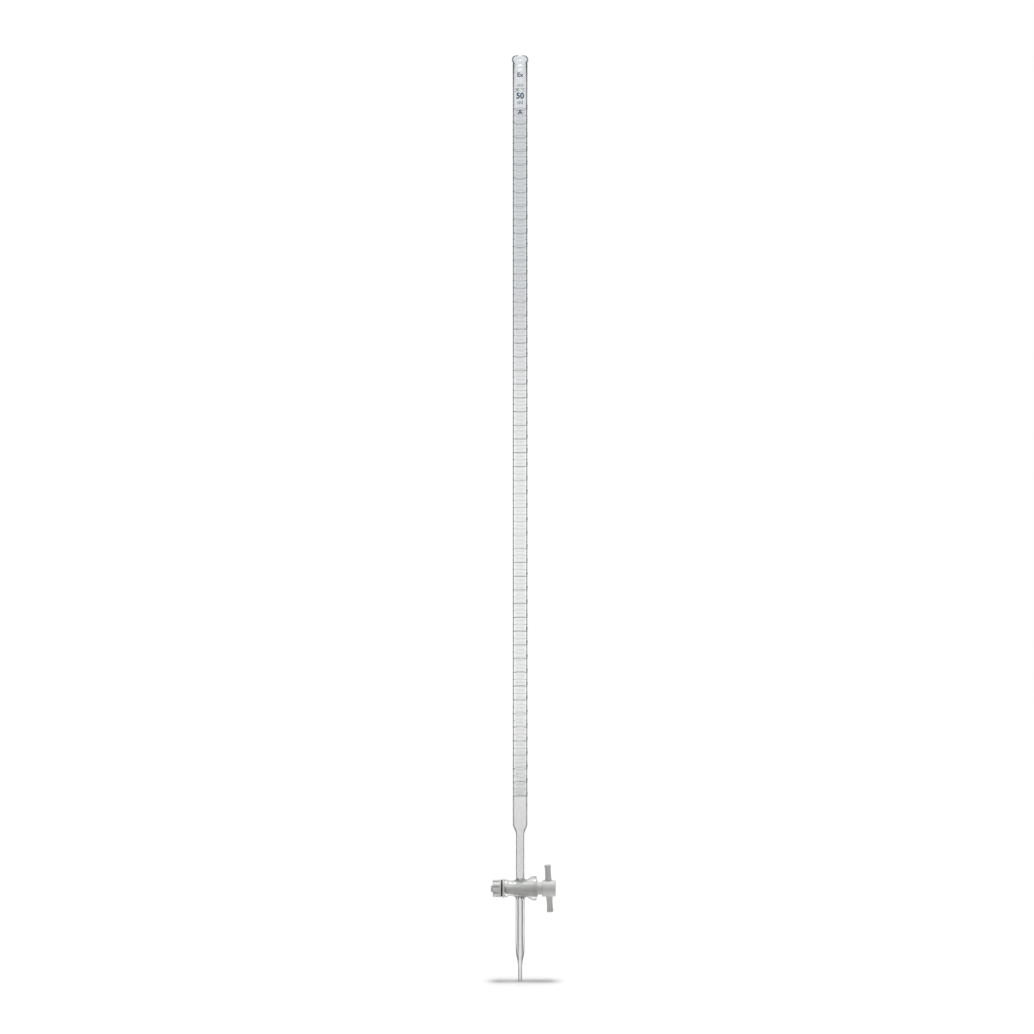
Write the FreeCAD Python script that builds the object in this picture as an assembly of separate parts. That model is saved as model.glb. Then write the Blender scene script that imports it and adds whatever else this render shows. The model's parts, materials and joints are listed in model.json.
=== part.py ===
# Burette of clear glass with a white stopcock, 50 ml in tenths.
#
# Millimetres. +Z is up along the tube, +X points to the handle, and the origin is the centre
# of the outlet at the tip of the jet. The tube, the inlet arm and the jet are turned about Z;
# the stopcock is turned about a line along X that crosses the tube's axis.
import FreeCAD
import Part
import math
import os

from FreeCAD import Vector

# Graduated tube
bore = 10.5
tube_wall = 0.95
capacity_ml = 50
marks_per_ml = 10
clear_above_shoulder = 23.0
headroom = 44.5
rim_bead_height = 5.0
rim_bead_stand = 0.85
shoulder_length = 10.0

# Enamel marks fired on the tube
line_width = 0.28
enamel_thickness = 0.08
half_mark_sweep = 170.0
tenth_mark_sweep = 78.0

# Inlet arm between the tube and the stopcock
arm_outside = 7.1
arm_bore = 5.0
arm_length = 35.7

# Outlet jet
jet_outside = 7.6
jet_bore = 2.9
jet_length = 69.0
jet_straight = 41.0
jet_draw_length = 17.0
tip_neck_outside = 3.5
tip_outside = 3.0
tip_bore = 1.0
tip_polish = 0.3

# Stopcock barrel, from the tube's axis: seal end to the left, flared lip to the right
weld_reach = 9.0
weld_fillet = 2.2
barrel_seal_end = 13.2
barrel_lip_end = 14.0
barrel_wall = 1.25
seal_ring_outside = 15.2
seal_ring_width = 3.1
lip_outside = 20.5
lip_width = 5.0
lip_flare_length = 4.2
wall_port = 2.9
seat_overrun = 1.0

# Plug, a taper of 1 in 5 on its diameter
plug_middle = 11.1
plug_taper = 0.2
plug_fit = 0.04
plug_port = 2.4
plug_stand_out = 0.8
plug_seal_recess = 1.0
neck_outside = 10.6
neck_length = 3.7
head_outside = 13.7
head_length = 11.4
head_edge = 1.0
tail_outside = 6.3
tail_stand_out = 1.65
tail_flat_depth = 0.65
tail_chamfer = 0.5
thread_fit = 0.05

# Handle bar through the head
bar_length = 39.8
bar_seat = 5.6
bar_waist = 4.85
bar_end = 5.5
bar_edge = 0.5
bar_lean_deg = 3.2
bar_fit = 0.02

# Seals and nut on the threaded tail
washer_outside = 16.2
washer_thickness = 1.5
washer_hole_fit = 0.15
ring_outside = 14.3
ring_thickness = 1.5
ring_edge = 0.4
ring_hole_fit = 0.15
nut_flange_outside = 15.4
nut_flange_width = 1.1
nut_grip_outside = 14.6
nut_grip_length = 5.75
nut_flutes = 9
nut_flute_radius = 1.0
nut_edge = 0.6

Z_AXIS = Vector(0, 0, 1)
X_AXIS = Vector(1, 0, 0)

# Places that follow from the sizes above
ml_pitch = 1000.0 / (math.pi * bore ** 2 / 4)
tube_radius = bore / 2 + tube_wall
stopcock_z = jet_length + weld_reach
arm_low_z = stopcock_z + weld_reach
arm_top_z = arm_low_z + arm_length
shoulder_top_z = arm_top_z + shoulder_length
last_mark_z = shoulder_top_z + clear_above_shoulder
first_mark_z = last_mark_z + capacity_ml * ml_pitch
rim_z = first_mark_z + headroom
stopcock_centre = Vector(0, 0, stopcock_z)

plug_small_x = plug_seal_recess - barrel_seal_end
plug_large_x = barrel_lip_end + plug_stand_out
neck_end_x = plug_large_x + neck_length
head_end_x = neck_end_x + head_length
bar_x = (neck_end_x + head_end_x) / 2
washer_x = -barrel_seal_end - washer_thickness
ring_x = washer_x - ring_thickness
nut_length = nut_flange_width + nut_grip_length
nut_x = ring_x - nut_length
tail_end_x = nut_x - tail_stand_out


def line(start, end):
    """Straight edge of a profile."""
    return Part.makeLine(Vector(*start), Vector(*end))


def arc(start, middle, end):
    """Round edge of a profile, through three points."""
    return Part.Arc(Vector(*start), Vector(*middle), Vector(*end)).toShape()


def curve(*poles):
    """Drawn-glass edge of a profile, pulled towards its inner poles."""
    bezier = Part.BezierCurve()
    bezier.setPoles([Vector(*pole) for pole in poles])
    return bezier.toShape()


def turned(edges, axis):
    """Solid turned from a closed profile about an axis through the origin."""
    wire = Part.Wire(Part.__sortEdges__(edges))
    return Part.Face(wire).revolve(Vector(0, 0, 0), axis, 360)


def outline_z(points):
    """Closed straight-sided profile of (radius, height) points beside the Z axis."""
    corners = [(radius, 0, height) for radius, height in points]
    return [line(a, b) for a, b in zip(corners, corners[1:] + corners[:1])]


def outline_x(points):
    """Closed straight-sided profile of (place, radius) points beside the X axis."""
    corners = [(place, 0, radius) for place, radius in points]
    return [line(a, b) for a, b in zip(corners, corners[1:] + corners[:1])]


def rod(radius, start, direction, length):
    """Round rod."""
    return Part.makeCylinder(radius, length, start, direction)


def at_stopcock(shape):
    """Piece that was turned about the X axis, lifted to the stopcock's height."""
    moved = shape.copy()
    moved.translate(stopcock_centre)
    return moved


def round_edges_at(shape, radius, x, reach):
    """Fillet on the circular edges at one place along X, further out than a reach."""
    picked = []
    for edge in shape.Edges:
        box = edge.BoundBox
        if abs(box.XMin - x) < 0.01 and abs(box.XMax - x) < 0.01 and box.ZMax > reach:
            picked.append(edge)
    return shape.makeFillet(radius, picked)


def plug_radius(x):
    """Radius of the barrel's tapered seat at a place along the stopcock."""
    return plug_middle / 2 + plug_taper / 2 * x


def make_graduated_tube():
    """Measuring tube: beaded rim at the top, shoulder drawn down to the arm at the bottom."""
    arm_radius = arm_outside / 2
    shoulder_mid = (arm_top_z + shoulder_top_z) / 2
    bead_low = rim_z - rim_bead_height
    wall_middle = bore / 2 + tube_wall / 2
    bore_end = rim_z - tube_wall / 2
    bead_middle = (tube_radius + rim_bead_stand, 0, rim_z - rim_bead_height / 2)
    mouth_sag = (1 - math.cos(math.pi / 4)) * tube_wall / 2
    mouth_round = (bore / 2 + mouth_sag, 0, rim_z - mouth_sag)
    edges = [
        curve(
            (arm_radius, 0, arm_top_z),
            (arm_radius, 0, shoulder_mid),
            (tube_radius, 0, shoulder_mid),
            (tube_radius, 0, shoulder_top_z),
        ),
        line((tube_radius, 0, shoulder_top_z), (tube_radius, 0, bead_low)),
        arc((tube_radius, 0, bead_low), bead_middle, (wall_middle, 0, rim_z)),
        arc((wall_middle, 0, rim_z), mouth_round, (bore / 2, 0, bore_end)),
        line((bore / 2, 0, bore_end), (bore / 2, 0, shoulder_top_z)),
        curve(
            (bore / 2, 0, shoulder_top_z),
            (bore / 2, 0, shoulder_mid),
            (arm_bore / 2, 0, shoulder_mid),
            (arm_bore / 2, 0, arm_top_z),
        ),
        line((arm_bore / 2, 0, arm_top_z), (arm_radius, 0, arm_top_z)),
    ]
    return turned(edges, Z_AXIS)


def make_inlet_arm():
    """Plain tube from the shoulder to the stopcock."""
    outside = rod(arm_outside / 2, Vector(0, 0, arm_low_z), Z_AXIS, arm_length)
    inside = rod(arm_bore / 2, Vector(0, 0, arm_low_z), Z_AXIS, arm_length)
    return outside.cut(inside)


def make_outlet_jet():
    """Thick capillary tube drawn down to a fine polished tip."""
    draw_top = jet_length - jet_straight
    draw_low = draw_top - jet_draw_length
    draw_mid = (draw_top + draw_low) / 2
    jet_radius = jet_outside / 2
    neck_radius = tip_neck_outside / 2
    edges = [
        line((tip_bore / 2, 0, 0), (tip_outside / 2 - tip_polish, 0, 0)),
        line((tip_outside / 2 - tip_polish, 0, 0), (tip_outside / 2, 0, tip_polish)),
        line((tip_outside / 2, 0, tip_polish), (neck_radius, 0, draw_low)),
        curve(
            (neck_radius, 0, draw_low),
            (neck_radius, 0, draw_mid),
            (jet_radius, 0, draw_mid),
            (jet_radius, 0, draw_top),
        ),
        line((jet_radius, 0, draw_top), (jet_radius, 0, jet_length)),
        line((jet_radius, 0, jet_length), (jet_bore / 2, 0, jet_length)),
        line((jet_bore / 2, 0, jet_length), (jet_bore / 2, 0, draw_top)),
        curve(
            (jet_bore / 2, 0, draw_top),
            (jet_bore / 2, 0, draw_mid),
            (tip_bore / 2, 0, draw_mid),
            (tip_bore / 2, 0, draw_low),
        ),
        line((tip_bore / 2, 0, draw_low), (tip_bore / 2, 0, 0)),
    ]
    return turned(edges, Z_AXIS)


def make_barrel_shell():
    """Outside of the barrel: ring at the seal end, tapered wall, flared lip at the handle end."""
    seal_x = -barrel_seal_end
    ring_x_end = seal_x + seal_ring_width
    lip_x = barrel_lip_end - lip_width
    flare_x = lip_x - lip_flare_length
    ring_radius = seal_ring_outside / 2
    lip_radius = lip_outside / 2
    ring_step = plug_radius(ring_x_end + seal_ring_width / 2) + barrel_wall
    flare_radius = plug_radius(flare_x) + barrel_wall
    lip_face = (lip_radius + plug_radius(barrel_lip_end)) / 2
    edges = [
        line((seal_x, 0, 0), (seal_x, 0, ring_radius - seal_ring_width / 4)),
        arc(
            (seal_x, 0, ring_radius - seal_ring_width / 4),
            (seal_x + seal_ring_width / 2, 0, ring_radius),
            (ring_x_end, 0, ring_radius - seal_ring_width / 4),
        ),
        line(
            (ring_x_end, 0, ring_radius - seal_ring_width / 4),
            (ring_x_end + seal_ring_width / 2, 0, ring_step),
        ),
        line((ring_x_end + seal_ring_width / 2, 0, ring_step), (flare_x, 0, flare_radius)),
        curve(
            (flare_x, 0, flare_radius),
            (flare_x + lip_flare_length / 2, 0, plug_radius(lip_x) + barrel_wall),
            (lip_x, 0, lip_radius),
            (lip_x + lip_width / 2, 0, lip_radius),
        ),
        curve(
            (lip_x + lip_width / 2, 0, lip_radius),
            (barrel_lip_end, 0, lip_radius),
            (barrel_lip_end, 0, lip_face),
        ),
        line((barrel_lip_end, 0, lip_face), (barrel_lip_end, 0, 0)),
        line((barrel_lip_end, 0, 0), (seal_x, 0, 0)),
    ]
    shell = turned(edges, X_AXIS)
    shell.rotate(Vector(0, 0, 0), X_AXIS, 90)
    return shell


def weld_edges(body, radius, side):
    """Saddle-shaped edges where an arm stub above (side 1) or below (side -1) meets the wall."""
    found = []
    for edge in body.Edges:
        points = edge.discretize(5)
        on_stub = all(abs(math.hypot(p.x, p.y) - radius) < 0.01 for p in points)
        in_reach = all(0 < side * p.z < weld_reach - 0.01 for p in points)
        if on_stub and in_reach:
            found.append(edge)
    return found


def make_stopcock_barrel():
    """Barrel with its tapered seat, the two ports and the welded roots of the arm and the jet."""
    shell = make_barrel_shell()
    upper_stub = rod(arm_outside / 2, Vector(0, 0, 0), Z_AXIS, weld_reach)
    lower_stub = rod(jet_outside / 2, Vector(0, 0, 0), -Z_AXIS, weld_reach)
    body = shell.fuse(upper_stub).fuse(lower_stub).removeSplitter()
    welds = weld_edges(body, arm_outside / 2, 1) + weld_edges(body, jet_outside / 2, -1)
    body = body.makeFillet(weld_fillet, welds)
    seat_start = -barrel_seal_end - seat_overrun
    seat_end = barrel_lip_end + seat_overrun
    seat = Part.makeCone(
        plug_radius(seat_start),
        plug_radius(seat_end),
        seat_end - seat_start,
        Vector(seat_start, 0, 0),
        X_AXIS,
    )
    seat_radius = plug_radius(0)
    upper_port = Part.makeCone(
        wall_port / 2, arm_bore / 2, weld_reach - seat_radius, Vector(0, 0, seat_radius), Z_AXIS
    )
    wall_hole = rod(wall_port / 2, Vector(0, 0, 0), Z_AXIS, seat_radius)
    lower_port = rod(jet_bore / 2, Vector(0, 0, 0), -Z_AXIS, weld_reach)
    return at_stopcock(body.cut(seat).cut(upper_port).cut(wall_hole).cut(lower_port))


def make_stopcock_plug():
    """Tapered plug with its flow bore, the threaded tail, and the neck and head for the bar."""
    tail_radius = tail_outside / 2
    body = turned(
        outline_x(
            [
                (tail_end_x, 0),
                (tail_end_x, tail_radius - tail_chamfer),
                (tail_end_x + tail_chamfer, tail_radius),
                (plug_small_x, tail_radius),
                (plug_small_x, plug_radius(plug_small_x) - plug_fit),
                (plug_large_x, plug_radius(plug_large_x) - plug_fit),
                (plug_large_x, neck_outside / 2),
                (neck_end_x, neck_outside / 2),
                (neck_end_x, head_outside / 2),
                (head_end_x, head_outside / 2),
                (head_end_x, 0),
            ]
        ),
        X_AXIS,
    )
    body = round_edges_at(body, head_edge, head_end_x, neck_outside / 2)
    body = round_edges_at(body, head_edge / 2, neck_end_x, (neck_outside + head_outside) / 4)
    flow_length = 2 * plug_middle
    flow_bore = rod(plug_port / 2, Vector(0, 0, -flow_length / 2), Z_AXIS, flow_length)
    flat = Part.makeBox(
        plug_small_x - tail_end_x,
        tail_outside,
        tail_flat_depth,
        Vector(tail_end_x, -tail_radius, tail_radius - tail_flat_depth),
    )
    bar_hole = lean_bar(
        rod(bar_seat / 2 + bar_fit, Vector(0, 0, -head_outside), Z_AXIS, 2 * head_outside)
    )
    return at_stopcock(body.cut(flow_bore).cut(flat).cut(bar_hole))


def lean_bar(shape):
    """Shape made about the Z axis, leaned in its hole and moved to the middle of the head."""
    leaned = shape.copy()
    leaned.rotate(Vector(0, 0, 0), Vector(0, 1, 0), -bar_lean_deg)
    leaned.translate(Vector(bar_x, 0, 0))
    return leaned


def make_handle_bar():
    """Bar that fills its hole in the head and is waisted on each side of it."""
    half = bar_length / 2
    seat_half = head_outside / 2
    seat_radius = bar_seat / 2
    end_radius = bar_end / 2
    waist_radius = bar_waist / 2
    waist_z = (half + seat_half) / 2
    edges = [
        line((0, 0, -half), (end_radius - bar_edge, 0, -half)),
        line((end_radius - bar_edge, 0, -half), (end_radius, 0, bar_edge - half)),
        arc((end_radius, 0, bar_edge - half), (waist_radius, 0, -waist_z), (seat_radius, 0, -seat_half)),
        line((seat_radius, 0, -seat_half), (seat_radius, 0, seat_half)),
        arc((seat_radius, 0, seat_half), (waist_radius, 0, waist_z), (end_radius, 0, half - bar_edge)),
        line((end_radius, 0, half - bar_edge), (end_radius - bar_edge, 0, half)),
        line((end_radius - bar_edge, 0, half), (0, 0, half)),
        line((0, 0, half), (0, 0, -half)),
    ]
    return at_stopcock(lean_bar(turned(edges, Z_AXIS)))


def make_seal_washer():
    """White washer against the barrel, keyed by a flat on the tail so that it turns with it."""
    disc = rod(washer_outside / 2, Vector(washer_x, 0, 0), X_AXIS, washer_thickness)
    hole_radius = tail_outside / 2 + washer_hole_fit
    key_height = tail_outside / 2 - tail_flat_depth + washer_hole_fit
    hole = rod(hole_radius, Vector(washer_x, 0, 0), X_AXIS, washer_thickness)
    above_key = Part.makeBox(
        washer_thickness,
        2 * hole_radius,
        hole_radius,
        Vector(washer_x, -hole_radius, key_height),
    )
    return at_stopcock(disc.cut(hole.cut(above_key)))


def make_rubber_ring():
    """Black rubber ring that keeps the nut's pull on the plug."""
    disc = rod(ring_outside / 2, Vector(ring_x, 0, 0), X_AXIS, ring_thickness)
    disc = disc.makeFillet(ring_edge, [disc.Edges[0], disc.Edges[2]])
    hole_radius = tail_outside / 2 + ring_hole_fit
    return at_stopcock(disc.cut(rod(hole_radius, Vector(ring_x, 0, 0), X_AXIS, ring_thickness)))


def make_clamp_nut():
    """Nut with a flange against the ring and a fluted grip for the fingers."""
    flange_x = ring_x - nut_flange_width
    flange = rod(nut_flange_outside / 2, Vector(flange_x, 0, 0), X_AXIS, nut_flange_width)
    grip = rod(nut_grip_outside / 2, Vector(nut_x, 0, 0), X_AXIS, nut_grip_length)
    grip = round_edges_at(grip, nut_edge, nut_x, 0)
    for index in range(nut_flutes):
        angle = 2 * math.pi * (index + 0.5) / nut_flutes
        place = Vector(nut_x, nut_grip_outside / 2 * math.cos(angle), nut_grip_outside / 2 * math.sin(angle))
        grip = grip.cut(rod(nut_flute_radius, place, X_AXIS, nut_grip_length))
    thread = rod(tail_outside / 2 + thread_fit, Vector(nut_x, 0, 0), X_AXIS, nut_length)
    return at_stopcock(flange.fuse(grip).cut(thread).removeSplitter())


def mark(z, sweep):
    """One line of enamel round the tube, centred on the front."""
    inner = tube_radius
    outer = tube_radius + enamel_thickness
    low = z - line_width / 2
    high = z + line_width / 2
    profile = outline_z([(inner, low), (outer, low), (outer, high), (inner, high)])
    face = Part.Face(Part.Wire(profile))
    face.rotate(Vector(0, 0, 0), Z_AXIS, -90 - sweep / 2)
    return face.revolve(Vector(0, 0, 0), Z_AXIS, sweep)


def mark_z(tenths):
    """Height of a mark, counted in tenths down from the zero line."""
    return first_mark_z - tenths * ml_pitch / marks_per_ml


def make_marks(kind):
    """All the marks of one length: whole, half or tenth."""
    half_step = marks_per_ml // 2
    marks = []
    for tenths in range(capacity_ml * marks_per_ml + 1):
        if tenths % marks_per_ml == 0:
            found, sweep = "whole", 360.0
        elif tenths % half_step == 0:
            found, sweep = "half", half_mark_sweep
        else:
            found, sweep = "tenth", tenth_mark_sweep
        if found == kind:
            marks.append(mark(mark_z(tenths), sweep))
    return Part.makeCompound(marks)


nodes = {
    "graduated_tube": make_graduated_tube(),
    "whole_ml_rings": make_marks("whole"),
    "half_ml_marks": make_marks("half"),
    "tenth_ml_marks": make_marks("tenth"),
    "inlet_arm": make_inlet_arm(),
    "stopcock_barrel": make_stopcock_barrel(),
    "outlet_jet": make_outlet_jet(),
    "stopcock_plug": make_stopcock_plug(),
    "handle_bar": make_handle_bar(),
    "seal_washer": make_seal_washer(),
    "rubber_ring": make_rubber_ring(),
    "clamp_nut": make_clamp_nut(),
}

os.makedirs("parts", exist_ok=True)
for name, shape in nodes.items():
    shape.exportStep("parts/" + name + ".step")
    box = shape.BoundBox
    print(
        name,
        "solids", len(shape.Solids),
        "valid", shape.isValid(),
        "volume", round(shape.Volume, 2),
        "box", [round(v, 2) for v in (box.XMin, box.YMin, box.ZMin, box.XMax, box.YMax, box.ZMax)],
    )

print("ml pitch", round(ml_pitch, 3), "stopcock z", round(stopcock_z, 2), "rim z", round(rim_z, 2))
print("first mark", round(first_mark_z, 2), "last mark", round(last_mark_z, 2))
print("shoulder", round(arm_top_z, 2), round(shoulder_top_z, 2), "bar x", round(bar_x, 2))
print("tail end x", round(tail_end_x, 2), "head end x", round(head_end_x, 2))
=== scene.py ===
# %% [markdown]
# # A burette with a white stopcock
# A burette is a glass tube that measures out liquid. Its scale is fired on the outside, a
# stopcock at the bottom lets the liquid go, and a fine jet makes the drops small.
# This lesson dresses the solids that come from the drawing office: it never moves them, it only gives them finer
# meshes, print and finishes. First the solids are loaded.

# %% Load the frame
import json
import math
import bmesh
import bpy
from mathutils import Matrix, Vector, noise


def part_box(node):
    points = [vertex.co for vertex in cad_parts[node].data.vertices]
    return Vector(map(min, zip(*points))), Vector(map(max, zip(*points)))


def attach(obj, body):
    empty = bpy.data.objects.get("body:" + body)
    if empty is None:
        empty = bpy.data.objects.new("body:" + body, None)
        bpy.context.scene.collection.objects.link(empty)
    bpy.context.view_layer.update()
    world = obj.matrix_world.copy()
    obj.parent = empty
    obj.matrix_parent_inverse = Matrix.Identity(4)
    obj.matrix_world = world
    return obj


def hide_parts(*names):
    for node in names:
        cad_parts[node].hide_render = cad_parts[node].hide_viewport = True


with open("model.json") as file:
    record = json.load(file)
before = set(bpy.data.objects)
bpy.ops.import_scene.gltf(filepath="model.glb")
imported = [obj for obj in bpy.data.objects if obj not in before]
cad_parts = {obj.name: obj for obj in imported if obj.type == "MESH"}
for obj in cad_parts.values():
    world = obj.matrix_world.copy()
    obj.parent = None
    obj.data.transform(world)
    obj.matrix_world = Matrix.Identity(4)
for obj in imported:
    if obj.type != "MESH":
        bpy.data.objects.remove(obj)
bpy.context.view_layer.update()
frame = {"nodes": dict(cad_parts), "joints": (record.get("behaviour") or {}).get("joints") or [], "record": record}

MM = 0.001
print("solids", sorted(frame["nodes"]))

# %% [markdown]
# ## Sizes
# The solids know their own sizes, so most of what follows is read from their boxes and from the
# list of interfaces: the mouth's bore, the clamp's place on the tube, the stopcock's axis.
# A size that no box gives, such as a wall hidden inside, is written here by name.

# %% Read the sizes from the frame
mounts = {mount["name"]: mount for mount in frame["record"]["mounts"]}
joints = {joint["name"]: joint for joint in frame["joints"]}

tube_bore_r = mounts["mouth_bore"]["dims"]["r_mm"] * MM
tube_r = mounts["tube_clamp"]["dims"]["r_mm"] * MM
tip_bore_r = mounts["jet_outlet"]["dims"]["r_mm"] * MM
tip_land = mounts["jet_outlet"]["dims"]["length_mm"] * MM
stopcock_z = joints["plug_turn"]["pos_m"][2]

tube_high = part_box("graduated_tube")[1]
arm_low, arm_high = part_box("inlet_arm")
jet_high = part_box("outlet_jet")[1]
rings_low, rings_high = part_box("whole_ml_rings")
rim_z = tube_high.z
arm_r = arm_high.x
jet_r = jet_high.x
arm_top_z = arm_high.z
jet_top_z = jet_high.z

WHOLE_MARKS = 51
enamel_r = rings_high.x
line_width = 0.28 * MM
zero_z = rings_high.z - line_width / 2
last_z = rings_low.z + line_width / 2
ml_step = (zero_z - last_z) / (WHOLE_MARKS - 1)
print("one millilitre is", round(ml_step / MM, 3), "mm of tube; zero line at", round(zero_z / MM, 1), "mm")

# %% [markdown]
# ## Camera
# The camera stands level with the middle of the burette, nearly two metres away, so that the
# rings of the scale look nearly flat. A long lens from far away keeps the tube's sides parallel.
# The frame's width follows from the lens, and a small sideways step puts the tube a little
# right of the middle, as a catalogue picture does.

# %% Make the camera
VIEW_DISTANCE = 1.85
VIEW_WIDTH = 0.8697
VIEW_HEIGHT = 0.3903
VIEW_SIDE = -0.0026
SENSOR = 36.0

camera_data = bpy.data.cameras.new("camera")
camera_data.sensor_width = SENSOR
camera_data.lens = SENSOR * VIEW_DISTANCE / VIEW_WIDTH
camera = bpy.data.objects.new("camera", camera_data)
camera.location = (VIEW_SIDE, -VIEW_DISTANCE, VIEW_HEIGHT)
camera.rotation_euler = (math.pi / 2, 0, 0)
bpy.context.scene.collection.objects.link(camera)
bpy.context.scene.camera = camera
bpy.context.scene.view_settings.view_transform = "Standard"
print("lens", round(camera_data.lens, 1), "mm")

# %% [markdown]
# ## Helpers for nodes
# Every finish below is a small graph of nodes. These helpers add a node with its settings and
# values, join two sockets, and put a sum, a change of range or a place on the object in one
# line, so that a graph reads like a formula.

# %% Node helpers
def add_node(tree, kind, values=None, **settings):
    """A node of a shader or geometry tree, with its settings and its sockets' values."""
    node = tree.nodes.new(kind)
    for name, value in settings.items():
        setattr(node, name, value)
    for name, value in (values or {}).items():
        node.inputs[name].default_value = value
    return node


def join(tree, output, target):
    """A link from an output socket to an input socket."""
    tree.links.new(output, target)


def maths(tree, operation, *values):
    """A Math node fed by sockets or by plain numbers."""
    node = add_node(tree, "ShaderNodeMath", operation=operation)
    for socket, value in zip(node.inputs, values):
        if isinstance(value, (int, float)):
            socket.default_value = value
        else:
            join(tree, value, socket)
    return node.outputs[0]


def mapped(tree, value, start, end, to_start, to_end):
    """A value carried smoothly from one range to another, and held at the ends."""
    limits = {"From Min": start, "From Max": end, "To Min": to_start, "To Max": to_end}
    node = add_node(tree, "ShaderNodeMapRange", limits, interpolation_type="SMOOTHSTEP")
    join(tree, value, node.inputs["Value"])
    return node.outputs["Result"]


def place_parts(tree):
    """The X, Y and Z of the point that is shaded, in the object's own frame."""
    place = add_node(tree, "ShaderNodeTexCoord")
    parts = add_node(tree, "ShaderNodeSeparateXYZ")
    join(tree, place.outputs["Object"], parts.inputs[0])
    return parts.outputs["X"], parts.outputs["Y"], parts.outputs["Z"]


def slant(tree, first, second):
    """Length of the side across from a right angle, from the two sides beside it."""
    squares = [maths(tree, "MULTIPLY", side, side) for side in (first, second)]
    return maths(tree, "SQRT", maths(tree, "ADD", *squares))


def add_sockets(tree, in_out, kind, *names):
    """Sockets of one kind on the outside of a node group."""
    for name in names:
        tree.interface.new_socket(name=name, in_out=in_out, socket_type="NodeSocket" + kind)

# %% [markdown]
# ## Parts that the finishes share
# No real surface is quite even. One group of two noises, a coarse and a fine one, gives a mask
# and a height, and every finish takes its small changes of colour, gloss and surface from it.

# %% Shared effect: soft mottle
def make_mottle_group():
    """Group of noise at two scales: a mask for colour and roughness, and a height for bump."""
    group = bpy.data.node_groups.new("soft mottle", "ShaderNodeTree")
    add_sockets(group, "INPUT", "Float", "Scale", "Fine scale", "Fine share")
    add_sockets(group, "INPUT", "Vector", "Stretch")
    add_sockets(group, "OUTPUT", "Float", "Mask", "Height")
    inside = add_node(group, "NodeGroupInput")
    outside = add_node(group, "NodeGroupOutput")
    place = add_node(group, "ShaderNodeTexCoord")
    stretch = add_node(group, "ShaderNodeVectorMath", operation="MULTIPLY")
    join(group, place.outputs["Object"], stretch.inputs[0])
    join(group, inside.outputs["Stretch"], stretch.inputs[1])
    coarse = add_node(group, "ShaderNodeTexNoise", {"Detail": 3.0, "Roughness": 0.5})
    fine = add_node(group, "ShaderNodeTexNoise", {"Detail": 2.0, "Roughness": 0.6})
    for texture, scale in ((coarse, "Scale"), (fine, "Fine scale")):
        join(group, stretch.outputs[0], texture.inputs["Vector"])
        join(group, inside.outputs[scale], texture.inputs["Scale"])
    blend = add_node(group, "ShaderNodeMix", data_type="FLOAT")
    join(group, inside.outputs["Fine share"], blend.inputs["Factor"])
    join(group, coarse.outputs["Fac"], blend.inputs["A"])
    join(group, fine.outputs["Fac"], blend.inputs["B"])
    join(group, coarse.outputs["Fac"], outside.inputs["Mask"])
    join(group, blend.outputs["Result"], outside.inputs["Height"])
    return group


mottle_group = make_mottle_group()
print("shared node group:", mottle_group.name)

# %% Parts of every finish
def new_finish(name, **constants):
    """A material with its Principled BSDF and constant values set on the shader's own sockets."""
    material = bpy.data.materials.new(name)
    material.use_nodes = True
    tree = material.node_tree
    shader = tree.nodes["Principled BSDF"]
    for socket, value in constants.items():
        shader.inputs[socket.replace("_", " ")].default_value = value
    return material, tree, shader


def add_mottle(tree, scale, fine_scale, fine_share, stretch=(1, 1, 1)):
    """The soft mottle placed in a material."""
    values = {"Scale": scale, "Fine scale": fine_scale, "Fine share": fine_share, "Stretch": stretch}
    return add_node(tree, "ShaderNodeGroup", values, node_tree=mottle_group)


def ramp(tree, source, stops):
    """Colour ramp from (place, colour) stops, fed by a value."""
    node = add_node(tree, "ShaderNodeValToRGB")
    while len(node.color_ramp.elements) < len(stops):
        node.color_ramp.elements.new(1.0)
    for element, (place, colour) in zip(node.color_ramp.elements, stops):
        element.position = place
        element.color = (*colour, 1.0)
    join(tree, source, node.inputs["Fac"])
    return node.outputs["Color"]


def add_bump(tree, shader, height, strength, distance):
    """Bump from a height, fed to the shader's normal."""
    bump = add_node(tree, "ShaderNodeBump", {"Strength": strength, "Distance": distance})
    join(tree, height, bump.inputs["Height"])
    join(tree, bump.outputs["Normal"], shader.inputs["Normal"])


def multiplied(tree, first, second):
    """Product of two colours."""
    both = add_node(tree, "ShaderNodeMix", {"Factor": 1.0}, data_type="RGBA", blend_type="MULTIPLY")
    join(tree, first, both.inputs[6])
    join(tree, second, both.inputs[7])
    return both.outputs[2]


def grey(value, blue=0.0):
    """A neutral colour, or one a little towards blue."""
    return (value, value * (1 + blue / 2), value * (1 + blue))


def greys(*stops):
    """Stops of a ramp, each a place and a grey value, and a share of blue where there is one."""
    return [(place, grey(*shade)) for place, *shade in stops]

# %% [markdown]
# ## Glass
# Clear glass shows mostly by its edges. In a bright studio the middle of the tube is a light grey, and the sides,
# where the eye looks along the wall, are dark lines. Here those lines are painted shade: the colour of the glass
# falls with the angle between the view and the surface, which Layer Weight gives, so the lines follow every tube
# from every side. A faint, long wave in the normal is the unevenness that a flame leaves in drawn glass.

# %% Light through glass
SHADOW_TINT = (0.91, 0.92, 0.92, 1.0)


def let_light_through(tree, shader):
    """Straight light for shadows: a lamp shines through thin glass without being bent."""
    path = add_node(tree, "ShaderNodeLightPath")
    clear = add_node(tree, "ShaderNodeBsdfTransparent", {"Color": SHADOW_TINT})
    blend = add_node(tree, "ShaderNodeMixShader")
    join(tree, path.outputs["Is Shadow Ray"], blend.inputs["Fac"])
    join(tree, shader.outputs["BSDF"], blend.inputs[1])
    join(tree, clear.outputs["BSDF"], blend.inputs[2])
    join(tree, blend.outputs["Shader"], tree.nodes["Material Output"].inputs["Surface"])

# %% Edges seen at a slant
JUST_OVER_ONE = 1.0001


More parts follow.
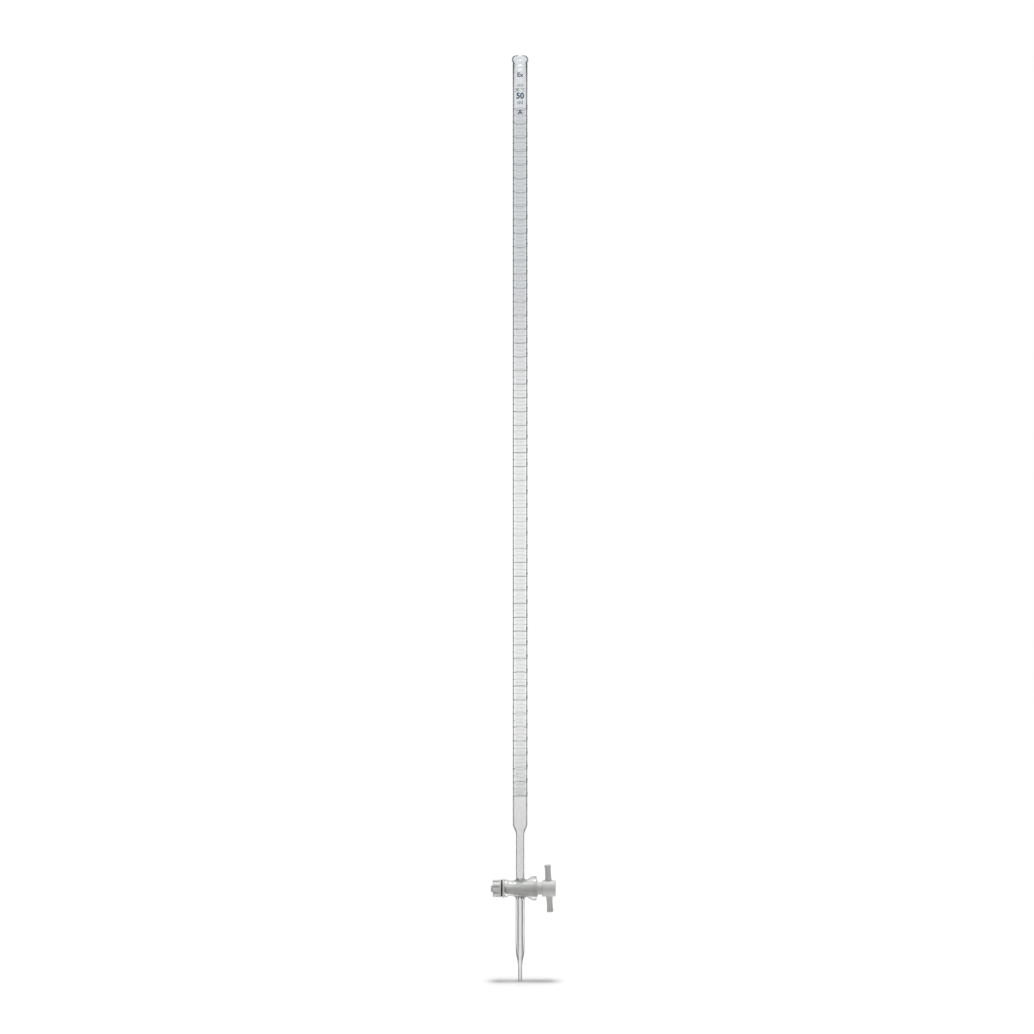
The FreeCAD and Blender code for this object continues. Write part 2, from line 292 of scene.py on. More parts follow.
def edge_on(tree, upright):
    """How far a face is turned from the eye; round an upright tube the eye's height is left out."""
    facing = add_node(tree, "ShaderNodeLayerWeight").outputs["Facing"]
    if not upright:
        return facing
    up = add_node(tree, "ShaderNodeCombineXYZ", {"Z": 1.0})
    steep = add_node(tree, "ShaderNodeLayerWeight")
    join(tree, up.outputs[0], steep.inputs["Normal"])
    rise = maths(tree, "SUBTRACT", 1.0, steep.outputs["Facing"])
    level = maths(tree, "SUBTRACT", JUST_OVER_ONE, maths(tree, "MULTIPLY", rise, rise))
    level = maths(tree, "SQRT", level)
    towards = maths(tree, "DIVIDE", maths(tree, "SUBTRACT", 1.0, facing), level)
    return maths(tree, "SUBTRACT", 1.0, maths(tree, "MINIMUM", towards, 1.0))

# %% A glass finish
WAVE_DEPTH = 0.05 * MM


def make_glass(name, stops=None, painted_shade=None, wave=(0.15, 60.0), upright=True, extra=None, colour=None,
               **constants):
    """Clear glass with painted shade towards its edges; functions may widen the painted edges or paint shade at a
    place.
    """
    material, tree, shader = new_finish(name, Roughness=0.0, Transmission_Weight=1.0, **constants)
    if colour:
        shader.inputs["Base Color"].default_value = (*colour, 1.0)
    else:
        turned_away = edge_on(tree, upright)
        if extra:
            turned_away = maths(tree, "ADD", turned_away, extra(tree))
        # Painted shade: the colour falls with the angle to the eye and is dark along the edges.
        shade = ramp(tree, turned_away, stops)
        if painted_shade:
            shade = multiplied(tree, shade, painted_shade(tree))
        join(tree, shade, shader.inputs["Base Color"])
    strength, scale = wave
    stretch = (1.0, 1.0, 0.25) if upright else (1.0, 1.0, 1.0)
    waves = add_mottle(tree, scale, 4 * scale, 0.25, stretch)
    add_bump(tree, shader, waves.outputs["Height"], strength, WAVE_DEPTH)
    let_light_through(tree, shader)
    return material

# %% [markdown]
# The painted edge lines aren't equally wide everywhere: on the narrow arm, the fine tip and the thicker glass near
# the mouth they take a larger share of the width. So a value that changes with the height is added to the angle.
# Painted shade also makes the glass darker or lighter in bands up the tube, as the studio light falls on it, and
# the glass gets a little bluer near the top.

# %% Glass of the tube, the arm and the jet
GLASS_INDEX = 1.47
STRAIGHT_INDEX = 1.01
# Painted shade: dark edge lines by the angle to the eye, their widening with the height, and the capillary's two
# dark lines.
PAINTED_EDGE_STOPS = greys((0.0, 1.0), (0.40, 1.0), (0.48, 0.07), (0.82, 0.04), (0.95, 0.6), (1.0, 0.7))
# Painted shade in bands up the tube, and a little blue near the top.
SHADE_BY_HEIGHT_STOPS = greys((0.0, 0.74), (0.14, 0.64), (0.19, 0.69), (0.23, 0.83), (0.31, 0.99), (0.55, 1.0),
                   (0.64, 0.94), (0.74, 0.77, 0.04), (1.0, 0.73, 0.09))
WIDER_STOPS = greys((0.0, 0.37), (0.03, 0.29), (0.05, 0.0), (0.10, 0.0), (0.11, 0.18), (0.16, 0.18),
                    (0.175, 0.10), (0.62, 0.10), (0.75, 0.135), (0.96, 0.155))
NO_CHANGE = 0.10
CAPILLARY_STOPS = greys((0.0, 0.98), (0.21, 0.96), (0.27, 0.02), (1.0, 0.02))
TIP_END_Z = 28 * MM
TIP_FINER = -0.35


def height_share(tree):
    """Height of the point that is shaded, as a share of the whole."""
    return maths(tree, "DIVIDE", place_parts(tree)[2], rim_z)


def height_tint(tree):
    """Painted shade of the glass at each height, darker or lighter in bands, and a little blue near the top."""
    return ramp(tree, height_share(tree), SHADE_BY_HEIGHT_STOPS)


def wider_edge(tree):
    """The share that is added to the painted edge lines at each height."""
    return maths(tree, "SUBTRACT", ramp(tree, height_share(tree), WIDER_STOPS), NO_CHANGE)


def finer_at_tip(tree):
    """The share that is taken from the painted dark lines of the narrow bore near the tip."""
    return mapped(tree, place_parts(tree)[2], 0.4 * TIP_END_Z, TIP_END_Z, TIP_FINER, 0.0)


outer_glass = make_glass("outer_glass", PAINTED_EDGE_STOPS, height_tint, extra=wider_edge, IOR=GLASS_INDEX)
inner_glass = make_glass("inner_glass", colour=grey(0.95), IOR=GLASS_INDEX)
capillary_glass = make_glass("capillary_glass", CAPILLARY_STOPS, extra=finer_at_tip, IOR=STRAIGHT_INDEX)
print("glass of the tube, its bore and the capillary; index of refraction", GLASS_INDEX)

# %% [markdown]
# The barrel is thick and lies close round the plug. With the index of real glass it would hide the white plug
# behind bent light, so it bends light only a little, and a coat gives it the gloss of glass. Like the tube, it
# gets painted dark edges by the angle to the eye, and a little more painted shade towards the flared lip. Where
# the arm and the jet are welded on, the glass is folded, and painted shade darkens it there in uneven curls.

# %% Glass of the barrel
WELD_R = 4.3 * MM
WELD_SPREAD = 2.6 * MM
WELD_HEIGHT = 7.2 * MM
WELD_TALL = 2.8 * MM
WELD_DARK = 0.72
WELD_PALE = 0.05
FOLD_MIDDLE = 0.5
FOLD_WIDTH = 0.24
# Painted shade towards the flared lip, from these places along the stopcock.
LIP_START_X = 8.0 * MM
LIP_FULL_X = 12.0 * MM
LIP_SHADE_GREY = 0.86
# Painted dark edges of the barrel, by the angle to the eye.
BARREL_STOPS = greys((0.0, 0.80), (0.36, 0.76), (0.60, 0.42), (0.78, 0.10), (0.92, 0.05), (1.0, 0.3))
BARREL_INDEX = 1.07


def bell(tree, value, centre, spread):
    """Value 1 at a centre that falls to 0 at a distance from it."""
    distance = maths(tree, "ABSOLUTE", maths(tree, "SUBTRACT", value, centre))
    return mapped(tree, distance, 0.0, spread, 1.0, 0.0)


def weld_shade(tree):
    """Painted shade on the thick, uneven glass round the roots of the arm and the jet, in dark curls."""
    x, y, z = place_parts(tree)
    root = bell(tree, slant(tree, x, y), WELD_R, WELD_SPREAD)
    height = maths(tree, "ABSOLUTE", maths(tree, "SUBTRACT", z, stopcock_z))
    band = maths(tree, "MULTIPLY", root, bell(tree, height, WELD_HEIGHT, WELD_TALL))
    folds = add_mottle(tree, 170.0, 340.0, 0.2)
    curl = bell(tree, folds.outputs["Height"], FOLD_MIDDLE, FOLD_WIDTH)
    return maths(tree, "MULTIPLY", band, maths(tree, "MULTIPLY_ADD", curl, WELD_DARK, WELD_PALE))


def lip_tint(tree):
    """Painted shade that makes the glass a little darker in the thick flared lip."""
    share = mapped(tree, place_parts(tree)[0], LIP_START_X, LIP_FULL_X, 0.0, 1.0)
    return ramp(tree, share, greys((0.0, 1.0), (1.0, LIP_SHADE_GREY)))


barrel_glass = make_glass(
    "barrel_glass",
    BARREL_STOPS,
    lip_tint,
    wave=(0.9, 170.0),
    upright=False,
    extra=weld_shade,
    IOR=BARREL_INDEX,
    Coat_Weight=1.0,
    Coat_IOR=GLASS_INDEX,
    Coat_Roughness=0.02,
)
seat_glass = make_glass("seat_glass", colour=grey(1.0), IOR=STRAIGHT_INDEX)
glass_finishes = [outer_glass, inner_glass, capillary_glass, barrel_glass, seat_glass]
print("glass finishes:", [finish.name for finish in glass_finishes])

# %% [markdown]
# ## The glass body
# On the real burette four pieces of glass are fused in a flame: the measuring tube, the inlet
# arm, the stopcock's barrel and the jet. If each kept its own closed mesh, light would meet
# two hidden faces at every joint and draw a false line. So they are turned finely here and
# added together as one skin. First come the helpers that all meshes below share: one puts a
# mesh in the scene, one turns an outline about an axis as a lathe does, two draw the outline's
# curves, and one adds a mesh to another or cuts it away.

# %% Mesh helpers
def placed(name, data):
    """New object that shows some data, put in the scene."""
    thing = bpy.data.objects.new(name, data)
    bpy.context.scene.collection.objects.link(thing)
    return thing


def make_piece(name, mesh, materials):
    """An object at the origin that shows a mesh with its finishes."""
    mesh.name = name
    mesh.materials.clear()
    for material in materials:
        mesh.materials.append(material)
    return placed(name, mesh)


def smooth(mesh, sharp_degrees):
    """Smooth shading, with an edge left sharp where the faces meet at a steep angle."""
    mesh.shade_smooth()
    mesh.set_sharp_from_angle(angle=math.radians(sharp_degrees))


def as_mesh(model, name):
    """Mesh from an edited model, which is freed."""
    mesh = bpy.data.meshes.new(name)
    model.to_mesh(mesh)
    model.free()
    return mesh


def evaluated(holder):
    """Plain mesh of what an object shows, text and modifiers worked out; the object goes."""
    ready = holder.evaluated_get(bpy.context.evaluated_depsgraph_get())
    mesh = bpy.data.meshes.new_from_object(ready)
    bpy.data.objects.remove(holder)
    return mesh


def tell(name, mesh):
    """Print a mesh's faces, and how many of its edges don't have exactly two of them."""
    model = bmesh.new()
    model.from_mesh(mesh)
    count = sum(1 for edge in model.edges if len(edge.link_faces) != 2)
    model.free()
    print(name, len(mesh.polygons), "faces, open edges", count)

# %% Curves of an outline
def bezier(start, pull_a, pull_b, end, steps=14):
    """Points of a drawn curve, its first point left out."""
    points = []
    for i in range(1, steps + 1):
        t = i / steps
        u = 1 - t
        weights = (u * u * u, 3 * u * u * t, 3 * u * t * t, t * t * t)
        corners = (start, pull_a, pull_b, end)
        points.append(tuple(sum(w * c[k] for w, c in zip(weights, corners)) for k in (0, 1)))
    return points


def arc(centre, radius, first_degrees, last_degrees, steps=8):
    """Points of a round corner in an outline of (radius, height)."""
    points = []
    for i in range(steps + 1):
        angle = math.radians(first_degrees + (last_degrees - first_degrees) * i / steps)
        points.append((centre[0] + radius * math.cos(angle), centre[1] + radius * math.sin(angle)))
    return points

# %% A lathe
def turn(outline, steps, along_x=False, closed=True, first_turn=0.0):
    """Mesh turned from an outline of (radius, height); on the axis the radius is zero.

    A first turn by part of a step keeps the edges of two meshes that are combined apart.
    """
    model = bmesh.new()
    rings = []
    for radius, height in outline:
        if radius <= 0:
            place = (height, 0, stopcock_z) if along_x else (0, 0, height)
            rings.append([model.verts.new(place)])
            continue
        ring = []
        for i in range(steps):
            angle = 2 * math.pi * (i + first_turn) / steps
            a, b = radius * math.cos(angle), radius * math.sin(angle)
            ring.append(model.verts.new((height, a, stopcock_z + b) if along_x else (a, b, height)))
        rings.append(ring)
    pairs = list(zip(rings, rings[1:]))
    if closed:
        pairs.append((rings[-1], rings[0]))
    for low, high in pairs:
        if len(low) == 1 and len(high) == 1:
            continue
        for i in range(steps):
            j = (i + 1) % steps
            corners = [low[i % len(low)], low[j % len(low)], high[j % len(high)], high[i % len(high)]]
            model.faces.new(list(dict.fromkeys(corners)))
    bmesh.ops.recalc_face_normals(model, faces=model.faces)
    return as_mesh(model, "turned")

# %% Adding a mesh and cutting one away
def combined(mesh, other, operation):
    """The mesh that is left when another is added to it or cut from it."""
    first, second = placed("first", mesh), placed("second", other)
    tool = first.modifiers.new("combine", "BOOLEAN")
    tool.operation = operation
    tool.solver = "EXACT"
    tool.object = second
    result = evaluated(first)
    bpy.data.objects.remove(second)
    return result

# %% Turn the tube with its rim and shoulder
GLASS_STEPS = 128
WELD_LAP = 0.3 * MM
WELD_SWELL = 0.03 * MM
SHOULDER_LENGTH = 10.0 * MM
ARM_BORE_R = 2.5 * MM
BEAD_HEIGHT = 5.0 * MM
TUBE_SPANS = 24


def arc_through(low, middle, high, steps=12):
    """Points of the circle through three points of an outline, from the first to the last."""
    ax, ay = low
    bx, by = middle
    cx, cy = high
    d = 2 * (ax * (by - cy) + bx * (cy - ay) + cx * (ay - by))
    a2, b2, c2 = ax * ax + ay * ay, bx * bx + by * by, cx * cx + cy * cy
    centre = ((a2 * (by - cy) + b2 * (cy - ay) + c2 * (ay - by)) / d,
              (a2 * (cx - bx) + b2 * (ax - cx) + c2 * (bx - ax)) / d)
    first = math.degrees(math.atan2(ay - centre[1], ax - centre[0]))
    to_middle = (math.degrees(math.atan2(by - centre[1], bx - centre[0])) - first) % 360
    to_last = (math.degrees(math.atan2(cy - centre[1], cx - centre[0])) - first) % 360
    if to_middle > to_last:
        to_last -= 360
    return arc(centre, math.dist(centre, low), first, first + to_last, steps)


shoulder_top_z = arm_top_z + SHOULDER_LENGTH
shoulder_mid_z = arm_top_z + SHOULDER_LENGTH / 2
wall = tube_r - tube_bore_r
wall_middle_r = (tube_r + tube_bore_r) / 2
bead_r = tube_high.x
straight_end_z = rim_z - BEAD_HEIGHT


def straight(radius, first, last, spans):
    """Points up or down a straight stretch, its first point left out."""
    return [(radius, first + (last - first) * i / spans) for i in range(1, spans + 1)]


swollen_arm_r = arm_r + WELD_SWELL
tube_outline = [(swollen_arm_r, arm_low.z + 0.5 * WELD_LAP), (swollen_arm_r, arm_low.z + 3 * WELD_LAP)]
tube_outline += [(arm_r, arm_low.z + 6 * WELD_LAP), (arm_r, arm_top_z)]
tube_outline += bezier((arm_r, arm_top_z), (arm_r, shoulder_mid_z), (tube_r, shoulder_mid_z),
                       (tube_r, shoulder_top_z))
tube_outline += straight(tube_r, shoulder_top_z, straight_end_z, TUBE_SPANS)
tube_outline += arc_through((tube_r, straight_end_z), (bead_r, rim_z - BEAD_HEIGHT / 2),
                            (wall_middle_r, rim_z))[1:]
tube_outline += arc((tube_bore_r + wall / 2, rim_z - wall / 2), wall / 2, 90, 180)[1:]
tube_outline += straight(tube_bore_r, rim_z - wall / 2, shoulder_top_z, TUBE_SPANS)
tube_outline += bezier((tube_bore_r, shoulder_top_z), (tube_bore_r, shoulder_mid_z),
                       (ARM_BORE_R, shoulder_mid_z), (ARM_BORE_R, arm_top_z))
tube_outline += [(ARM_BORE_R, arm_low.z + 3 * WELD_LAP), (ARM_BORE_R - WELD_SWELL, arm_low.z + 2 * WELD_LAP),
                 (ARM_BORE_R - WELD_SWELL, arm_low.z + 0.5 * WELD_LAP)]
tube_mesh = turn(tube_outline, GLASS_STEPS)
tell("tube", tube_mesh)

# %% Turn the jet
JET_BORE_R = 1.45 * MM
JET_STRAIGHT = 41.0 * MM
TIP_NECK_R = 1.75 * MM
TIP_R = 1.5 * MM
TIP_ROUND = 0.3 * MM

draw_top_z = jet_top_z - JET_STRAIGHT
draw_mid_z = (draw_top_z + tip_land) / 2
swollen_jet_r = jet_r + WELD_SWELL
narrowed_bore_r = JET_BORE_R - WELD_SWELL
jet_outline = [(tip_bore_r, 0)] + arc((TIP_R - TIP_ROUND, TIP_ROUND), TIP_ROUND, -90, 0, 5)
jet_outline += [(TIP_NECK_R, tip_land)]
jet_outline += bezier((TIP_NECK_R, tip_land), (TIP_NECK_R, draw_mid_z), (jet_r, draw_mid_z),
                      (jet_r, draw_top_z))
jet_outline += straight(jet_r, draw_top_z, jet_top_z - 6 * WELD_LAP, 4)
jet_outline += [(swollen_jet_r, jet_top_z - 3 * WELD_LAP), (swollen_jet_r, jet_top_z - 0.5 * WELD_LAP)]
jet_outline += [(narrowed_bore_r, jet_top_z - 0.5 * WELD_LAP), (narrowed_bore_r, jet_top_z - 2 * WELD_LAP)]
jet_outline += [(JET_BORE_R, jet_top_z - 3 * WELD_LAP)]
jet_outline += straight(JET_BORE_R, jet_top_z - 3 * WELD_LAP, draw_top_z, 4)
jet_outline += bezier((JET_BORE_R, draw_top_z), (JET_BORE_R, draw_mid_z), (tip_bore_r, draw_mid_z),
                      (tip_bore_r, tip_land))
jet_mesh = turn(jet_outline, GLASS_STEPS)
tell("jet", jet_mesh)

# %% [markdown]
# The barrel is turned about the stopcock's axis: a ring at the seal end, a wall that thickens
# towards a flared lip, and the arms' stubs standing on it. Where a stub meets the wall the glass
# has flowed into a round weld. To make it, each point near the corner is moved out to the skin
# of a shape that blends both: the distance to it is worked out from the distances to the two,
# and a few small steps along its slope bring the point there. A noise makes the weld uneven.
# That comes last, after the ports are cut and the tube and the jet are joined on.

# %% Turn the barrel with its stubs
BARREL_STEPS = 160
SEAL_RING_WIDTH = 3.1 * MM
SEAL_RING_R = 7.6 * MM
SEAL_RING_EDGE = 6.825 * MM
WAIST_R = 6.6 * MM
FLARE_X = 4.8 * MM
FLARE_R = 7.28 * MM
LIP_X = 9.0 * MM
LIP_ROOT_R = 7.7 * MM
LIP_FACE_R = 8.6 * MM
WELD_REACH = 9.5 * MM
SEAT_MIDDLE_R = 5.55 * MM
SEAT_SLOPE = 0.1
SEAT_ROWS = 60
FLARE_ROWS = 46
WALL_MIDDLE_R = 6.3 * MM
STUB_ROWS = 40
FIRST_ROW = 27

barrel_low, barrel_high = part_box("stopcock_barrel")
lip_r = barrel_high.y
ring_end_x = barrel_low.x + SEAL_RING_WIDTH
waist_x = ring_end_x + SEAL_RING_WIDTH / 3
lip_mid_x = (LIP_X + barrel_high.x) / 2


def seat_radius(x):
    """Radius of the tapered seat at a place along the stopcock."""
    return SEAT_MIDDLE_R + SEAT_SLOPE * x


barrel_outline = [(SEAL_RING_EDGE * share, barrel_low.x) for share in (0.9, 1.0)]
barrel_outline += arc_through((SEAL_RING_EDGE, barrel_low.x), (SEAL_RING_R, (barrel_low.x + ring_end_x) / 2),
                              (SEAL_RING_EDGE, ring_end_x))[1:]
barrel_outline += bezier((SEAL_RING_EDGE, ring_end_x), (WAIST_R, waist_x), (WAIST_R, waist_x),
                         (WAIST_R, waist_x + MM), 6)
barrel_outline += [(WAIST_R + (FLARE_R - WAIST_R) * i / FLARE_ROWS,
                    waist_x + MM + (FLARE_X - waist_x - MM) * i / FLARE_ROWS)
                   for i in range(1, FLARE_ROWS + 1)]
barrel_outline += bezier((FLARE_R, FLARE_X), (LIP_ROOT_R, (FLARE_X + LIP_X) / 2), (lip_r, LIP_X),
                         (lip_r, lip_mid_x), 24)
barrel_outline += bezier((lip_r, lip_mid_x), (lip_r, barrel_high.x), (lip_r, barrel_high.x),
                         (LIP_FACE_R, barrel_high.x), 16)
seat_rows = [barrel_high.x + (barrel_low.x - barrel_high.x) * i / SEAT_ROWS for i in range(SEAT_ROWS + 1)]
seat_outline = [(seat_radius(x), x) for x in seat_rows]


def stub(radius, side):
    """Plain rod from the middle of the wall up (side 1) or down (side -1) to the end of its root."""
    rows = [(radius, stopcock_z + side * WELD_REACH * row / STUB_ROWS)
            for row in range(FIRST_ROW, STUB_ROWS + 1)]
    foot = (0, stopcock_z), (radius, stopcock_z)
    mesh = turn([*foot, *rows, (0, stopcock_z + side * WELD_REACH)], 120, closed=False, first_turn=0.43)
    for vert in mesh.vertices:
        if abs(vert.co.z - stopcock_z) < MM:
            vert.co.z = stopcock_z + side * math.sqrt(WALL_MIDDLE_R ** 2 - vert.co.y ** 2)
    return mesh


barrel_mesh = turn(barrel_outline + seat_outline, BARREL_STEPS, along_x=True)
for radius, side in ((arm_r, 1), (jet_r, -1)):
    barrel_mesh = combined(barrel_mesh, stub(radius, side), "UNION")
tell("barrel", barrel_mesh)

# %% Cut the ports and fuse the three
PORT_TOP = 0.3 * MM
WALL_PORT_R = 1.45 * MM
upper_port = [(0, stopcock_z), (WALL_PORT_R, stopcock_z),
              (WALL_PORT_R, stopcock_z + SEAT_MIDDLE_R + PORT_TOP), (ARM_BORE_R, arm_low.z),
              (ARM_BORE_R, stopcock_z + WELD_REACH + PORT_TOP),
              (0, stopcock_z + WELD_REACH + PORT_TOP)]
lower_port = [(0, stopcock_z - WELD_REACH - PORT_TOP), (JET_BORE_R, stopcock_z - WELD_REACH - PORT_TOP),
              (JET_BORE_R, stopcock_z), (0, stopcock_z)]
for port in (upper_port, lower_port):
    cutter = turn(port, GLASS_STEPS, closed=False, first_turn=0.37)
    barrel_mesh = combined(barrel_mesh, cutter, "DIFFERENCE")
body_mesh = combined(barrel_mesh, tube_mesh, "UNION")
body_mesh = combined(body_mesh, jet_mesh, "UNION")
tell("one glass skin", body_mesh)

# %% Distance to the welded skin
WELD_FILLET = 2.0 * MM
WELD_WOBBLE = 0.16 * MM
WELD_NOISE = 420
WALL_WAVE = 0.14 * MM
WALL_NOISE = 300


def wall_radius(x):
    """Radius of the barrel's outside at a place along the stopcock."""
    for (low_r, low_x), (high_r, high_x) in zip(barrel_outline, barrel_outline[1:]):
        if low_x <= x <= high_x and high_x > low_x:
            return low_r + (high_r - low_r) * (x - low_x) / (high_x - low_x)
    return 0.0


def hollow(place):
    """How far the flame has left the barrel's outside uneven at a place, always inwards."""
    return WALL_WAVE * (0.5 + 0.5 * noise.noise(place * WALL_NOISE))


def weld_distance(place):
    """Distance of a place from the skin of barrel and stubs with round welds between them."""
    height = place.z - stopcock_z
    from_wall = math.hypot(place.y, height) - wall_radius(place.x)
    from_stub = math.hypot(place.x, place.y) - (arm_r if height > 0 else jet_r)
    corner = math.hypot(max(WELD_FILLET - from_wall, 0.0), max(WELD_FILLET - from_stub, 0.0))
    nearness = max(0.0, 1 - max(abs(from_wall), abs(from_stub)) / WELD_FILLET)
    wobble = WELD_WOBBLE * nearness * (1 + 2 * noise.noise(place * WELD_NOISE))
    return max(WELD_FILLET, min(from_wall, from_stub)) - corner - wobble + hollow(place)


def slope(place, gap=0.01 * MM):
    """Direction in which the distance grows fastest."""
    here = weld_distance(place)
    steps = [Vector((gap, 0, 0)), Vector((0, gap, 0)), Vector((0, 0, gap))]
    return Vector([(weld_distance(place + step) - here) / gap for step in steps])

# %% Let the welds flow
WELD_END = 9.1 * MM
SEAT_CLEAR = 0.2 * MM
END_CLEAR = 0.1 * MM
FLOW_STEPS = 5
LEAST_SLOPE = 0.2

moved = 0
for vert in body_mesh.vertices:
    height = vert.co.z - stopcock_z
    off_axis = vert.co.xy.length
    across = math.hypot(vert.co.y, height)
    inside = across < seat_radius(vert.co.x) + SEAT_CLEAR or off_axis < 1.1 * ARM_BORE_R
    if inside or (abs(height) > WELD_END and off_axis < bead_r):
        continue
    if off_axis > jet_r + 1.2 * WELD_FILLET:
        if barrel_low.x + END_CLEAR < vert.co.x < barrel_high.x - END_CLEAR:
            shrink = 1 - hollow(vert.co) / across
            vert.co.y *= shrink
            vert.co.z = stopcock_z + height * shrink
        continue
    for step in range(FLOW_STEPS):
        direction = slope(vert.co)
        if direction.length > LEAST_SLOPE:
            vert.co -= direction * (weld_distance(vert.co) / direction.length_squared)
    moved += 1
print("points moved to the welds", moved)

smooth(body_mesh, 40.0)
glass_body = make_piece("glass_body", body_mesh, glass_finishes)

# %% [markdown]
# Glass of one kind, but seen in different ways, which the finishes paint: the outer skin has painted dark edges, a
# wide bore has none of its own, a narrow bore in a thick wall gets two painted dark lines, and the tapered seat
# lies so close on the plug that its edge can't be seen. Each face gets the finish of the place where it lies,
# found from its middle and its direction.

# %% Give each face of the glass its finish
SEAT_SLACK = 0.15 * MM
SEAT_REACH = 15 * MM
ROUNDING = 1.02
OUTER, INNER, CAPILLARY, BARREL, SEAT = range(len(glass_finishes))


def glass_kind(face):
    """Which glass finish a face of the body takes."""
    middle, normal = face.center, face.normal
    off_axis = math.hypot(middle.x, middle.y)
    outwards = (middle.x * normal.x + middle.y * normal.y) / max(off_axis, 1e-9)
    up = middle.z - stopcock_z
    across = math.hypot(middle.y, up)
    if across < seat_radius(middle.x) + SEAT_SLACK and abs(middle.x) < SEAT_REACH:
        return SEAT
    if outwards < -0.5 and off_axis < ARM_BORE_R * ROUNDING and abs(normal.z) < 0.6:
        return CAPILLARY if middle.z < stopcock_z else INNER
    if outwards < -0.5 and middle.z > arm_low.z:
        return INNER
    if off_axis < bead_r * ROUNDING and (middle.z > arm_low.z or middle.z < jet_top_z):
        return OUTER
    return BARREL


for face in body_mesh.polygons:
    face.material_index = glass_kind(face)
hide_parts("graduated_tube", "inlet_arm", "stopcock_barrel", "outlet_jet")
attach(glass_body, "glass")
kinds = [face.material_index for face in body_mesh.polygons]
tell("glass body", body_mesh)
print("faces by finish", [kinds.count(kind) for kind in range(len(glass_finishes))])

# %% [markdown]
# ## The scale
# The scale is enamel, fired on the glass, so it stands up a little. A whole millilitre is a
# ring right round the tube, a half reaches across the front, and a tenth is a short dash.
# Hundreds of like marks are work for Geometry Nodes: one mark is a band swept along an arc,
# a line of points holds a small comb of marks, and a second line repeats that comb.

# %% Finishes with a soft mottle, and the enamels
def make_mottled(name, dark, light, gloss, scales, bump, spread=0.2, by_height=False, painted_shade=None, rings=None,
                 **constants):
    """Finish that is uneven in colour, gloss and surface; functions may paint shade on it or add rings."""
    material, tree, shader = new_finish(name, **constants)
    mottle = add_mottle(tree, *scales)
    mask, height = mottle.outputs["Mask"], mottle.outputs["Height"]
    for_colour, for_gloss = (height, mask) if by_height else (mask, height)
    colour = ramp(tree, for_colour, [(0.5 - spread, dark), (0.5 + spread, light)])
    if painted_shade:
        colour = multiplied(tree, colour, painted_shade(tree))
    join(tree, colour, shader.inputs["Base Color"])
    rough = ramp(tree, for_gloss, greys((0.2, gloss[0]), (0.8, gloss[1])))
    join(tree, rough, shader.inputs["Roughness"])
    if rings:
        height = maths(tree, "MULTIPLY_ADD", rings(tree), 0.6, height)
    add_bump(tree, shader, height, *bump)
    return material


ENAMEL = {"gloss": (0.30, 0.55), "scales": (900.0, 6000.0, 0.5), "bump": (0.3, 0.01 * MM)}
scale_enamel = make_mottled("scale_enamel", (0.020, 0.050, 0.080), (0.032, 0.075, 0.115), **ENAMEL)
print_enamel = make_mottled("print_enamel", (0.012, 0.075, 0.150), (0.022, 0.110, 0.205), **ENAMEL)
print("enamels:", scale_enamel.name, print_enamel.name)

# %% Start and end of a geometry tree
def start_tree(name, whole_numbers, numbers, switches=()):
    """New geometry tree and its inputs; geometry and a material always go in."""
    tree = bpy.data.node_groups.new(name, "GeometryNodeTree")
    add_sockets(tree, "INPUT", "Geometry", "Geometry")
    add_sockets(tree, "INPUT", "Int", *whole_numbers)
    add_sockets(tree, "INPUT", "Float", *numbers)
    add_sockets(tree, "INPUT", "Bool", *switches)
    add_sockets(tree, "INPUT", "Material", "Material")
    add_sockets(tree, "OUTPUT", "Geometry", "Geometry")
    return tree, add_node(tree, "NodeGroupInput").outputs


def end_tree(tree, given, geometry):
    """Last nodes of a geometry tree: instances become real faces and take the material."""
    realize = add_node(tree, "GeometryNodeRealizeInstances")
    paint = add_node(tree, "GeometryNodeSetMaterial")
    result = add_node(tree, "NodeGroupOutput")
    join(tree, geometry, realize.inputs["Geometry"])
    join(tree, realize.outputs["Geometry"], paint.inputs["Geometry"])
    join(tree, given["Material"], paint.inputs["Material"])
    join(tree, paint.outputs["Geometry"], result.inputs["Geometry"])
    return tree

# %% A geometry tree for the marks
def repeated(tree, count, step, instance, first=None):
    """Instances down a line of points, from the origin or from a first height."""
    rail = add_node(tree, "GeometryNodeMeshLine", mode="OFFSET")
    join(tree, count, rail.inputs["Count"])
    for height, socket in ((step, "Offset"), (first, "Start Location")):
        if height is not None:
            upwards = add_node(tree, "ShaderNodeCombineXYZ")
            join(tree, height, upwards.inputs["Z"])
            join(tree, upwards.outputs[0], rail.inputs[socket])
    put = add_node(tree, "GeometryNodeInstanceOnPoints")
    join(tree, rail.outputs["Mesh"], put.inputs["Points"])
    join(tree, instance, put.inputs["Instance"])
    return put.outputs["Instances"]


